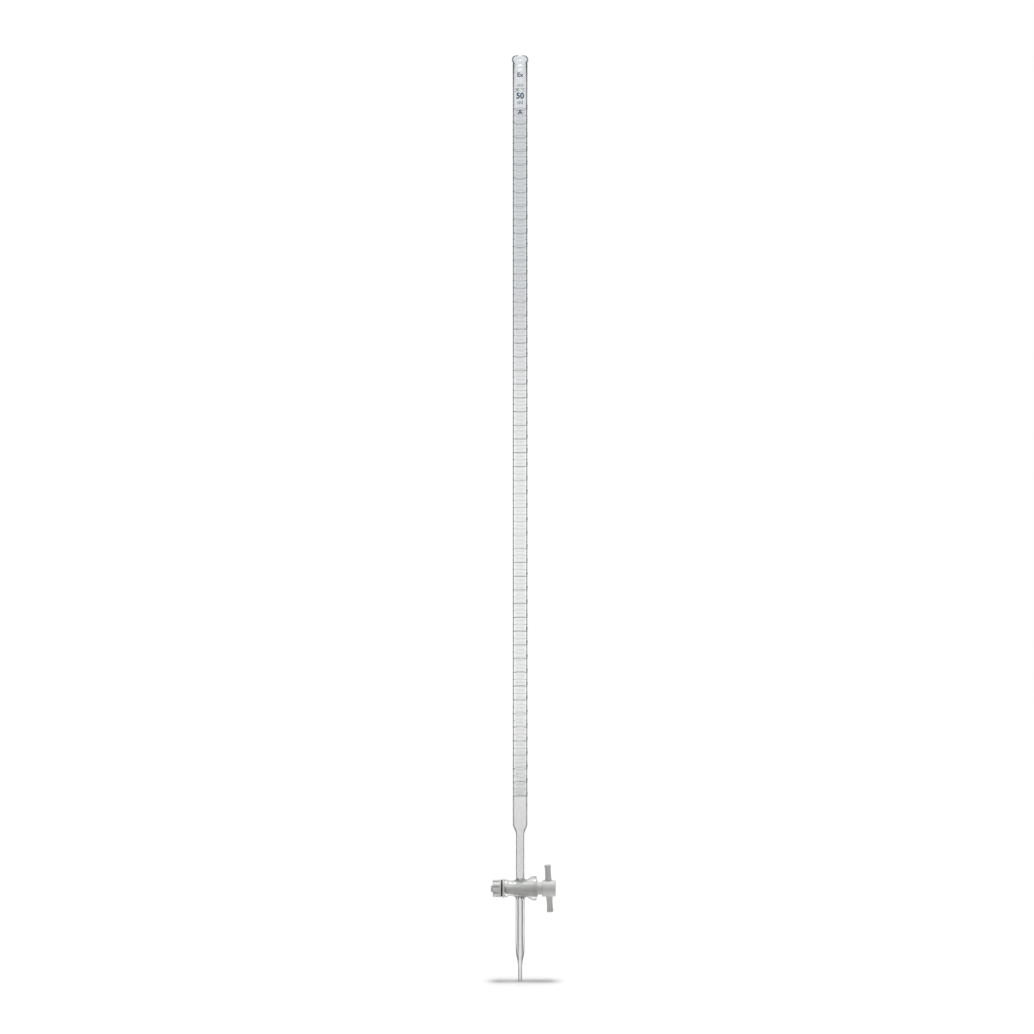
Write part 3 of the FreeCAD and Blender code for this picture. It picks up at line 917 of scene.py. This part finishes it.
def make_marks_tree():
    """Tree that makes groups of equal marks down a tube."""
    tree, given = start_tree(
        "scale marks",
        ("Groups", "Marks in a group", "Steps round"),
        ("First height", "Group step", "Mark step", "Radius", "Sweep", "Thickness", "Line width"),
        ("Full ring",),
    )
    start = maths(tree, "MULTIPLY_ADD", given["Sweep"], -0.5, -math.pi / 2)
    part_arc = add_node(tree, "GeometryNodeCurveArc", mode="RADIUS")
    join(tree, start, part_arc.inputs["Start Angle"])
    join(tree, given["Sweep"], part_arc.inputs["Sweep Angle"])
    ring = add_node(tree, "GeometryNodeCurvePrimitiveCircle", mode="RADIUS")
    for path in (part_arc, ring):
        join(tree, given["Steps round"], path.inputs["Resolution"])
        join(tree, given["Radius"], path.inputs["Radius"])
    choice = add_node(tree, "GeometryNodeSwitch", input_type="GEOMETRY")
    join(tree, given["Full ring"], choice.inputs["Switch"])
    join(tree, part_arc.outputs["Curve"], choice.inputs["False"])
    join(tree, ring.outputs["Curve"], choice.inputs["True"])
    upright = add_node(tree, "GeometryNodeSetCurveNormal", mode="Z_UP")
    join(tree, choice.outputs["Output"], upright.inputs["Curve"])
    band = add_node(tree, "GeometryNodeCurvePrimitiveQuadrilateral", mode="RECTANGLE")
    join(tree, given["Thickness"], band.inputs["Width"])
    join(tree, given["Line width"], band.inputs["Height"])
    sweep = add_node(tree, "GeometryNodeCurveToMesh", {"Fill Caps": True})
    join(tree, upright.outputs["Curve"], sweep.inputs["Curve"])
    join(tree, band.outputs["Curve"], sweep.inputs["Profile Curve"])

    comb = repeated(tree, given["Marks in a group"], given["Mark step"], sweep.outputs["Mesh"])
    marks = repeated(tree, given["Groups"], given["Group step"], comb, first=given["First height"])
    return end_tree(tree, given, marks)


marks_tree = make_marks_tree()
print("marks tree", len(marks_tree.nodes), "nodes")

# %% Growing a mesh with a tree
def grown(tree, inputs, start_mesh=None):
    """Plain mesh that a geometry tree makes from named inputs."""
    holder = placed("holder", start_mesh or bpy.data.meshes.new("empty"))
    modifier = holder.modifiers.new("grow", "NODES")
    modifier.node_group = tree
    for item in tree.interface.items_tree:
        if item.item_type == "SOCKET" and item.in_out == "INPUT" and item.name in inputs:
            modifier[item.identifier] = inputs[item.name]
    return evaluated(holder)

# %% Make the three lengths of mark
ENAMEL_SINK = 0.02 * MM
enamel_middle_r = (tube_r - ENAMEL_SINK + enamel_r) / 2
enamel_depth = enamel_r - tube_r + ENAMEL_SINK
tenth_step = ml_step / 10


def make_marks(name, node, groups, in_group, first, group_step, sweep_degrees, width, steps):
    """One length of mark, all down the scale, standing for its solids."""
    mesh = grown(
        marks_tree,
        {
            "Groups": groups,
            "Marks in a group": in_group,
            "Steps round": steps,
            "First height": first,
            "Group step": -group_step,
            "Mark step": -tenth_step,
            "Radius": enamel_middle_r,
            "Sweep": math.radians(sweep_degrees),
            "Thickness": enamel_depth,
            "Line width": width,
            "Full ring": sweep_degrees >= 360,
            "Material": scale_enamel,
        },
    )
    piece = make_piece(name, mesh, [scale_enamel])
    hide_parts(node)
    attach(piece, "glass")
    tell(name, mesh)
    heights = [vert.co.z / MM for vert in mesh.vertices]
    print("from", round(min(heights), 1), "to", round(max(heights), 1), "mm up the burette")


make_marks("whole_millilitre_rings", "whole_ml_rings", WHOLE_MARKS, 1, zero_z, ml_step,
           sweep_degrees=360, width=line_width, steps=96)
make_marks("half_millilitre_marks", "half_ml_marks", WHOLE_MARKS - 1, 1, zero_z - ml_step / 2, ml_step,
           sweep_degrees=170, width=0.24 * MM, steps=48)
make_marks("tenth_millilitre_marks", "tenth_ml_marks", 2 * (WHOLE_MARKS - 1), 4, zero_z - tenth_step,
           ml_step / 2, sweep_degrees=78, width=0.20 * MM, steps=24)

# %% [markdown]
# ## Numerals and inscription
# Each whole mark has its number, which sits just above its ring on the right of the scale, so
# that from the front it is seen edge-on. The block near the rim says only what any such tube
# says: the volume, the temperature at which it is true, and its tolerance class.
# Letters are made flat as text, cut into narrow strips so that they can bend, and then
# wrapped round the tube by turning their width into an angle.

# %% Letters bent round the tube
STRIP = 0.35 * MM
CAP_SHARE = 0.70


def flat_letters(text, height, weight):
    """Mesh of letters, standing at height and centred on its width, with a closed thickness."""
    curve = bpy.data.curves.new("letters", "FONT")
    curve.body = text
    curve.size = height / CAP_SHARE
    curve.extrude = enamel_depth / 2
    curve.offset = weight
    curve.resolution_u = 8
    curve.align_x = "CENTER"
    return evaluated(placed("letters", curve))


def wrap_letters(model, text, height, angle_degrees, base_z, weight):
    """Letters added to a mesh, bent round the tube with their middle at an angle from the front."""
    letters = bmesh.new()
    letters.from_mesh(flat_letters(text, height, weight))
    bmesh.ops.remove_doubles(letters, verts=letters.verts, dist=0.001 * MM)
    reach = max(abs(v.co.x) for v in letters.verts)
    strips = int(reach / STRIP) + 1
    for i in range(-strips, strips + 1):
        everything = letters.verts[:] + letters.edges[:] + letters.faces[:]
        bmesh.ops.bisect_plane(letters, geom=everything, plane_co=(i * STRIP, 0, 0), plane_no=(1, 0, 0))
    for vert in letters.verts:
        angle = math.radians(angle_degrees) + vert.co.x / tube_r
        radius = enamel_middle_r + vert.co.z
        vert.co = (radius * math.sin(angle), -radius * math.cos(angle), base_z + vert.co.y)
    part = as_mesh(letters, "part")
    model.from_mesh(part)
    bpy.data.meshes.remove(part)


def finish_letters(name, model, material):
    """The bent letters as a piece of the glass body."""
    bmesh.ops.recalc_face_normals(model, faces=model.faces)
    mesh = as_mesh(model, name)
    piece = make_piece(name, mesh, [material])
    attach(piece, "glass")
    print(name, len(mesh.polygons), "faces")

# %% Number the scale
DIGIT_HEIGHT = 2.9 * MM
NUMERAL_ANGLE = 78.0
NUMERAL_LIFT = 0.9 * MM
NUMERAL_WEIGHT = 0.04 * MM

numerals = bmesh.new()
for millilitres in range(WHOLE_MARKS):
    wrap_letters(numerals, str(millilitres), DIGIT_HEIGHT, NUMERAL_ANGLE,
                 zero_z - millilitres * ml_step + NUMERAL_LIFT, NUMERAL_WEIGHT)
finish_letters("scale_numerals", numerals, scale_enamel)

# %% Print the inscription
# Each row is its text, its letters' height, its foot above the zero line and its weight, in mm.
INSCRIPTION = [
    ("A", 4.0, -5.3, 0.10),
    ("ml", 3.4, 3.2, 0.02),
    ("50", 4.8, 8.1, 0.22),
    ("20 °C", 2.7, 14.1, 0.02),
    ("±0.05", 1.9, 18.2, 0.0),
    ("Ex", 3.6, 26.2, 0.12),
]
inscription = bmesh.new()
for text, height, lift, weight in INSCRIPTION:
    wrap_letters(inscription, text, height * MM, 0.0, zero_z + lift * MM, weight * MM)
finish_letters("inscription", inscription, print_enamel)

# %% [markdown]
# ## PTFE plug
# The plug is turned from a white, waxy plastic that needs no grease. The lathe leaves fine
# rings, so the bump is a wave along the plug's own axis. Here the plug is turned from its
# outline too, and then four cutters take out the flow bore, the flat on the tail, the hole for
# the bar, and the thread for the nut, which is a groove that winds round the tail as a helix.

# %% Plastic and rubber finishes
LATHE_SCALE = 1200.0
# Painted shade in the nut's flutes, darker towards their bottom.
GROOVE_LOW_R = 6.4 * MM
GROOVE_HIGH_R = 7.2 * MM
GROOVE_SHADE_GREY = 0.76


def lathe_rings(tree):
    """Fine rings round the stopcock's axis, as a lathe leaves them."""
    place = add_node(tree, "ShaderNodeTexCoord")
    wave = add_node(tree, "ShaderNodeTexWave", {"Scale": LATHE_SCALE, "Distortion": 0.4, "Detail": 1.0},
                    wave_type="BANDS", bands_direction="X")
    join(tree, place.outputs["Object"], wave.inputs["Vector"])
    return wave.outputs["Fac"]


def groove_tint(tree):
    """Painted shade at the bottom of the nut's flutes, darker where less light reaches into them."""
    y, z = place_parts(tree)[1:]
    radius = slant(tree, y, maths(tree, "SUBTRACT", z, stopcock_z))
    share = mapped(tree, radius, GROOVE_LOW_R, GROOVE_HIGH_R, 0.0, 1.0)
    return ramp(tree, share, greys((0.0, GROOVE_SHADE_GREY), (1.0, 1.0)))


ptfe = make_mottled("turned_ptfe", (0.53, 0.53, 0.515), (0.59, 0.59, 0.575), (0.34, 0.50),
                    (220.0, 2600.0, 0.35), (0.25, 0.02 * MM), spread=0.25, rings=lathe_rings, IOR=1.38)
MOULDED = {"by_height": True, "IOR": 1.45}
bar_plastic = make_mottled("grained_bar", (0.50, 0.50, 0.485), (0.57, 0.57, 0.555), (0.5, 0.7),
                           (520.0, 2600.0, 0.7), (0.8, 0.05 * MM), **MOULDED)
nut_plastic = make_mottled("smooth_nut", grey(0.58), grey(0.64), (0.36, 0.48),
                           (440.0, 2200.0, 0.7), (0.15, 0.05 * MM), painted_shade=groove_tint, **MOULDED)
rubber = make_mottled("black_rubber", (0.018, 0.018, 0.019), (0.034, 0.034, 0.035), (0.5, 0.7),
                      (600.0, 3000.0, 0.7), (0.4, 0.05 * MM), **MOULDED)
print("plastics and rubber:", ptfe.name, bar_plastic.name, nut_plastic.name, rubber.name)

# %% Cutters for the plug
THREAD_PITCH = 1.25 * MM
THREAD_DEPTH = 0.5 * MM
THREAD_STEPS = 40
TAIL_R = 3.15 * MM


def thread_cutter(first_x, last_x):
    """Closed three-sided groove that winds round the tail."""
    model = bmesh.new()
    count = int((last_x - first_x) / THREAD_PITCH * THREAD_STEPS)
    rows = []
    for i in range(count + 1):
        angle = 2 * math.pi * i / THREAD_STEPS
        x = first_x + THREAD_PITCH * i / THREAD_STEPS
        row = []
        for along, radius in ((-0.45, 1.05), (0.45, 1.05), (0.0, 1 - THREAD_DEPTH / TAIL_R)):
            r = TAIL_R * radius
            place = (x + along * THREAD_PITCH, r * math.cos(angle), stopcock_z + r * math.sin(angle))
            row.append(model.verts.new(place))
        rows.append(row)
    for low, high in zip(rows, rows[1:]):
        for i in range(3):
            j = (i + 1) % 3
            model.faces.new([low[i], low[j], high[j], high[i]])
    model.faces.new(rows[0])
    model.faces.new(rows[-1])
    bmesh.ops.recalc_face_normals(model, faces=model.faces)
    return as_mesh(model, "thread")


def cylinder(radius, low, high, steps, centre_z=0.0):
    """Closed cylinder up the burette's axis, or about the stopcock when its height is given."""
    mesh = turn([(0, low), (radius, low), (radius, high), (0, high)], steps, closed=False)
    for vert in mesh.vertices:
        vert.co.z += centre_z
    return mesh


def block(low, high):
    """Closed box between two corners."""
    model = bmesh.new()
    bmesh.ops.create_cube(model, size=1.0)
    for vert in model.verts:
        vert.co = [low[k] + (vert.co[k] + 0.5) * (high[k] - low[k]) for k in range(3)]
    return as_mesh(model, "block")


def leaned(mesh, centre, angle):
    """The mesh leaned about the Y axis and moved so that its origin lies at a centre."""
    lean = Vector((0, 0, 1)).rotation_difference(Vector((math.sin(angle), 0, math.cos(angle))))
    for vert in mesh.vertices:
        vert.co = lean @ vert.co + centre
    return mesh

# %% Turn the plug and cut it
PLUG_STEPS = 144
PLUG_FIT = 0.04 * MM
PLUG_SMALL_X = -12.2 * MM
PLUG_LARGE_X = 14.8 * MM
PLUG_PORT_R = 1.2 * MM
TAIL_CHAMFER = 0.5 * MM
TAIL_FLAT = 0.65 * MM
NECK_R = 5.3 * MM
NECK_END_X = 18.5 * MM
HEAD_R = 6.85 * MM
HEAD_ROUND = 1.0 * MM
HEAD_BACK_ROUND = 0.5 * MM
BAR_SEAT_R = 2.8 * MM
BAR_FIT = 0.02 * MM
BAR_LEAN = math.radians(-3.2)

plug_low, plug_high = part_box("stopcock_plug")
ring_low, ring_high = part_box("rubber_ring")
bar_low, bar_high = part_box("handle_bar")
bar_centre = (bar_low + bar_high) / 2
flat_z = stopcock_z + TAIL_R - TAIL_FLAT

plug_outline = [(0, plug_low.x), (TAIL_R - TAIL_CHAMFER, plug_low.x), (TAIL_R, plug_low.x + TAIL_CHAMFER)]
plug_outline += [(TAIL_R, PLUG_SMALL_X), (seat_radius(PLUG_SMALL_X) - PLUG_FIT, PLUG_SMALL_X)]
plug_outline += [(seat_radius(x * MM) - PLUG_FIT, x * MM) for x in range(-12, 15)]
plug_outline += [(seat_radius(PLUG_LARGE_X) - PLUG_FIT, PLUG_LARGE_X), (NECK_R, PLUG_LARGE_X)]
plug_outline += [(NECK_R, NECK_END_X)]
plug_outline += arc((HEAD_R - HEAD_BACK_ROUND, NECK_END_X + HEAD_BACK_ROUND), HEAD_BACK_ROUND, -90, 0, 5)
plug_outline += straight(HEAD_R, NECK_END_X + HEAD_BACK_ROUND, plug_high.x - HEAD_ROUND, 6)
plug_outline += arc((HEAD_R - HEAD_ROUND, plug_high.x - HEAD_ROUND), HEAD_ROUND, 0, 90, 7)[1:]
plug_outline += [(0, plug_high.x)]
plug_mesh = turn(plug_outline, PLUG_STEPS, along_x=True, closed=False)
cuts = [
    cylinder(PLUG_PORT_R, -2 * SEAT_MIDDLE_R, 2 * SEAT_MIDDLE_R, 64, stopcock_z),
    block((plug_low.x - MM, -TAIL_R, flat_z), (PLUG_SMALL_X, TAIL_R, stopcock_z + 2 * TAIL_R)),
    leaned(cylinder(BAR_SEAT_R + BAR_FIT, -2 * HEAD_R, 2 * HEAD_R, 96), bar_centre, BAR_LEAN),
    thread_cutter(plug_low.x - THREAD_PITCH, ring_low.x),
]
for cut in cuts:
    plug_mesh = combined(plug_mesh, cut, "DIFFERENCE")
smooth(plug_mesh, 30.0)
plug = make_piece("ptfe_plug", plug_mesh, [ptfe])
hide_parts("stopcock_plug")
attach(plug, "plug")
tell("plug", plug_mesh)

# %% [markdown]
# ## Handle bar
# The bar is a moulded rod, pushed through the head and a little waisted on both sides of it.
# Its skin is visibly rough. A bump alone would leave the outline smooth, so the turned rod's
# points are also moved inwards a little by a noise, and never outwards, to stay in its hole.

# %% Turn and roughen the bar
BAR_LENGTH = 39.8 * MM
BAR_WAIST_R = 2.425 * MM
BAR_END_R = 2.75 * MM
BAR_ROUND = 0.5 * MM
BAR_GRAIN = 0.09 * MM
COARSE_GRAIN = 1500
FINE_GRAIN = 3200
half_bar = BAR_LENGTH / 2
waist_z = (half_bar + HEAD_R) / 2

upper_arm = arc_through((BAR_SEAT_R, HEAD_R), (BAR_WAIST_R, waist_z), (BAR_END_R, half_bar - BAR_ROUND), 40)
cap = arc((BAR_END_R - BAR_ROUND, half_bar - BAR_ROUND), BAR_ROUND, 0, 90, 5)[1:]
face_steps = [((BAR_END_R - BAR_ROUND) * share, half_bar) for share in (0.75, 0.5, 0.25, 0)]
upper = straight(BAR_SEAT_R, 0, HEAD_R, 8) + upper_arm[1:] + cap + face_steps
bar_outline = [(radius, -height) for radius, height in reversed(upper)] + [(BAR_SEAT_R, 0)] + upper
bar_mesh = turn(bar_outline, 72, closed=False)
for vert in bar_mesh.vertices:
    grain = 0.6 * noise.noise(vert.co * COARSE_GRAIN) + 0.4 * noise.noise(vert.co * FINE_GRAIN)
    depth = BAR_GRAIN * (0.5 - 0.5 * grain)
    vert.co -= vert.co.normalized() * depth
leaned(bar_mesh, bar_centre, BAR_LEAN)
smooth(bar_mesh, 60.0)
bar = make_piece("grained_handle_bar", bar_mesh, [bar_plastic])
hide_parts("handle_bar")
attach(bar, "plug")
tell("bar", bar_mesh)

# %% [markdown]
# ## Washer, ring and nut
# A washer, a rubber ring and a nut pull the taper into its seat. The rubber is squeezed, so
# its rim bulges a little. The nut is gripped with two fingers, and its flutes follow a rule,
# so a geometry tree presses them into a turned blank: each point of the grip is drawn in to
# a round hollow that comes again and again round the axis.

# %% Washer and rubber ring
SEAL_STEPS = 120
SEAL_BORE_R = 3.3 * MM
washer_low, washer_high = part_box("seal_washer")


def rounded_ring(low, high, outer_r, inner_r, edge_r, bulge=0.0):
    """Outline of a flat ring along the stopcock with rounded rims."""
    left, right = low + edge_r, high - edge_r
    outline = arc((outer_r - edge_r - bulge, right), edge_r, 90, 0, 5)
    outline += [(outer_r, (low + high) / 2)] if bulge else []
    outline += arc((outer_r - edge_r - bulge, left), edge_r, 0, -90, 5)
    outline += [(inner_r, low), (inner_r, high)]
    return outline


def make_seal(name, node, low, high, outer_r, edge_r, bulge, material):
    """A flat ring on the tail, standing for its solid."""
    mesh = turn(rounded_ring(low.x, high.x, outer_r, SEAL_BORE_R, edge_r, bulge), SEAL_STEPS, along_x=True)
    smooth(mesh, 50.0)
    piece = make_piece(name, mesh, [material])
    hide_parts(node)
    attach(piece, "seals")
    tell(name, mesh)


make_seal("white_seal_washer", "seal_washer", washer_low, washer_high, washer_high.y, 0.2 * MM, 0.0,
          ptfe)
make_seal("black_rubber_ring", "rubber_ring", ring_low, ring_high, ring_high.z - stopcock_z, 0.35 * MM,
          0.15 * MM, rubber)

# %% A geometry tree for the flutes
def make_flutes_tree():
    """Tree that presses round flutes into a blank that is turned about the stopcock's axis."""
    sizes = ("Flutes", "Flute radius", "Pitch radius", "Axis height", "Grip start", "Grip end")
    tree, given = start_tree("grip flutes", (), sizes)
    place = add_node(tree, "GeometryNodeInputPosition")
    split = add_node(tree, "ShaderNodeSeparateXYZ")
    join(tree, place.outputs[0], split.inputs[0])
    along, across, up = split.outputs
    flute, pitch = given["Flute radius"], given["Pitch radius"]
    height = maths(tree, "SUBTRACT", up, given["Axis height"])
    angle = maths(tree, "ARCTAN2", height, across)
    radius = slant(tree, height, across)
    step = maths(tree, "DIVIDE", 2 * math.pi, given["Flutes"])
    nearest = maths(tree, "MULTIPLY", step, maths(tree, "ROUND", maths(tree, "DIVIDE", angle, step)))
    off = maths(tree, "SUBTRACT", angle, nearest)
    side = maths(tree, "MULTIPLY", pitch, maths(tree, "SINE", off))
    left = maths(tree, "SUBTRACT", maths(tree, "MULTIPLY", flute, flute), maths(tree, "MULTIPLY", side, side))
    depth = maths(tree, "SQRT", maths(tree, "MAXIMUM", 0.0, left))
    bottom = maths(tree, "SUBTRACT", maths(tree, "MULTIPLY", pitch, maths(tree, "COSINE", off)), depth)
    in_flute = maths(tree, "LESS_THAN", maths(tree, "ABSOLUTE", side), flute)
    in_grip = maths(tree, "MULTIPLY", maths(tree, "GREATER_THAN", along, given["Grip start"]),
                    maths(tree, "LESS_THAN", along, given["Grip end"]))
    inner = maths(tree, "MINIMUM", radius, bottom)
    share = maths(tree, "SUBTRACT", maths(tree, "DIVIDE", inner, radius), 1.0)
    change = maths(tree, "MULTIPLY", maths(tree, "MULTIPLY", in_flute, in_grip), share)
    shift = add_node(tree, "ShaderNodeCombineXYZ")
    join(tree, maths(tree, "MULTIPLY", change, across), shift.inputs["Y"])
    join(tree, maths(tree, "MULTIPLY", change, height), shift.inputs["Z"])
    move = add_node(tree, "GeometryNodeSetPosition")
    join(tree, given["Geometry"], move.inputs["Geometry"])
    join(tree, shift.outputs[0], move.inputs["Offset"])
    return end_tree(tree, given, move.outputs["Geometry"])


flutes_tree = make_flutes_tree()
print("flutes tree", len(flutes_tree.nodes), "nodes")

# %% Turn the nut's blank and press its flutes
NUT_STEPS = 252
NUT_FLUTES = 9
FLUTE_R = 1.0 * MM
GRIP_R = 7.3 * MM
FLANGE_WIDTH = 1.1 * MM
NUT_BORE_R = 3.2 * MM
GRIP_ROUND = 0.8 * MM
FLANGE_ROUND = 0.3 * MM
NUT_CHAMFER = 0.3 * MM
nut_low, nut_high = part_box("clamp_nut")
flange_r = nut_high.z - stopcock_z
flange_x = nut_high.x - FLANGE_WIDTH

blank = [(NUT_BORE_R, nut_high.x)]
blank += arc((flange_r - FLANGE_ROUND, nut_high.x - FLANGE_ROUND), FLANGE_ROUND, 90, 0, 4)
blank += arc((flange_r - FLANGE_ROUND, flange_x + FLANGE_ROUND), FLANGE_ROUND, 0, -90, 4)
blank += [(GRIP_R, flange_x)] + straight(GRIP_R, flange_x, nut_low.x + GRIP_ROUND, 6)
blank += arc((GRIP_R - GRIP_ROUND, nut_low.x + GRIP_ROUND), GRIP_ROUND, 0, -90, 6)[1:]
blank += [(GRIP_R - GRIP_ROUND - share * MM, nut_low.x) for share in (0.3, 0.6, 0.9, 1.2)]
blank += [(NUT_BORE_R + NUT_CHAMFER, nut_low.x), (NUT_BORE_R, nut_low.x + NUT_CHAMFER)]
nut_mesh = grown(
    flutes_tree,
    {
        "Flutes": float(NUT_FLUTES),
        "Flute radius": FLUTE_R,
        "Pitch radius": GRIP_R,
        "Axis height": stopcock_z,
        "Grip start": nut_low.x - MM,
        "Grip end": flange_x - 0.01 * MM,
        "Material": nut_plastic,
    },
    turn(blank, NUT_STEPS, along_x=True),
)
smooth(nut_mesh, 45.0)
nut = make_piece("fluted_clamp_nut", nut_mesh, [nut_plastic])
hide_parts("clamp_nut")
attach(nut, "nut")
tell("nut", nut_mesh)

# %% [markdown]
# ## Floor, background and light
# The burette is shown on a pale floor in an even white room. What the camera, a mirror or the
# glass sees directly is plain white, and surfaces are lit more softly than that: by an even
# light from all round, and by a small and a wide lamp overhead, which give the soft shadow at
# the foot. Lamps light a floor less and less with the distance. So the floor itself glows
# where the eye sees it, very little at the foot and more further out, to make up for that.

# %% Room
SIDE_LIGHT = 0.47
TOP_LIGHT = 0.06
SIDE_END = 0.15
TOP_START = 0.75
WHITE = (1.0, 1.0, 1.0, 1.0)


def straight_seen(tree):
    """Value 1 where nothing matt lies between the eye and this surface, and 0 elsewhere."""
    path = add_node(tree, "ShaderNodeLightPath").outputs
    seen = maths(tree, "MAXIMUM", path["Is Camera Ray"], path["Is Glossy Ray"])
    seen = maths(tree, "MAXIMUM", seen, path["Is Transmission Ray"])
    return maths(tree, "MULTIPLY", seen, maths(tree, "LESS_THAN", path["Diffuse Depth"], 0.5))


world = bpy.data.worlds.new("room")
world.use_nodes = True
bpy.context.scene.world = world
room = world.node_tree
background = room.nodes["Background"]
background.inputs["Color"].default_value = WHITE
towards = add_node(room, "ShaderNodeTexCoord")
parts = add_node(room, "ShaderNodeSeparateXYZ")
join(room, towards.outputs["Generated"], parts.inputs[0])
steepness = maths(room, "ABSOLUTE", parts.outputs["Z"])
soft_light = mapped(room, steepness, SIDE_END, TOP_START, SIDE_LIGHT, TOP_LIGHT)
level = add_node(room, "ShaderNodeMix", {"B": 1.0}, data_type="FLOAT")
join(room, soft_light, level.inputs["A"])
join(room, straight_seen(room), level.inputs["Factor"])
join(room, level.outputs["Result"], background.inputs["Strength"])
print("room light", SIDE_LIGHT, "from the side,", TOP_LIGHT, "from above")

# %% Floor and lamps
LAMP_HEIGHT = 4.0
LAMPS = {"small_lamp": (0.8, 112.0), "wide_lamp": (2.4, 52.0)}
FLOOR_SIZE = 6.0
FLOOR_GREY = 0.89
FOOT_GLOW = 0.03
LAMP_SHARE = 0.80

floor_material, floor_tree, floor_shader = new_finish("pale_floor", Roughness=0.9, Specular_IOR_Level=0.0)
floor_shader.inputs["Base Color"].default_value = (*grey(FLOOR_GREY), 1.0)
floor_shader.inputs["Emission Color"].default_value = WHITE
floor_place = add_node(floor_tree, "ShaderNodeTexCoord")
squared = add_node(floor_tree, "ShaderNodeVectorMath", operation="DOT_PRODUCT")
join(floor_tree, floor_place.outputs["Object"], squared.inputs[0])
join(floor_tree, floor_place.outputs["Object"], squared.inputs[1])
far = maths(floor_tree, "ADD", squared.outputs["Value"], LAMP_HEIGHT ** 2)
near = maths(floor_tree, "DIVIDE", LAMP_HEIGHT ** 2, far)
dimming = maths(floor_tree, "SUBTRACT", 1.0, maths(floor_tree, "MULTIPLY", near, near))
glow = maths(floor_tree, "MULTIPLY_ADD", dimming, LAMP_SHARE, FOOT_GLOW)
glow = maths(floor_tree, "MULTIPLY", straight_seen(floor_tree), glow)
join(floor_tree, glow, floor_shader.inputs["Emission Strength"])

floor_mesh = bpy.data.meshes.new("floor")
half = FLOOR_SIZE / 2
corners = [(half * x, half * y, 0) for x, y in ((-1, -1), (1, -1), (1, 1), (-1, 1))]
floor_mesh.from_pydata(corners, [], [(0, 1, 2, 3)])
floor = make_piece("floor", floor_mesh, [floor_material])

for name, (size, power) in LAMPS.items():
    lamp_data = bpy.data.lights.new(name, "AREA")
    lamp_data.shape = "DISK"
    lamp_data.size = size
    lamp_data.energy = power
    lamp = placed(name, lamp_data)
    lamp.location = (0.0, 0.0, LAMP_HEIGHT)
    print(name, power, "W,", size, "m wide, at", LAMP_HEIGHT, "m")
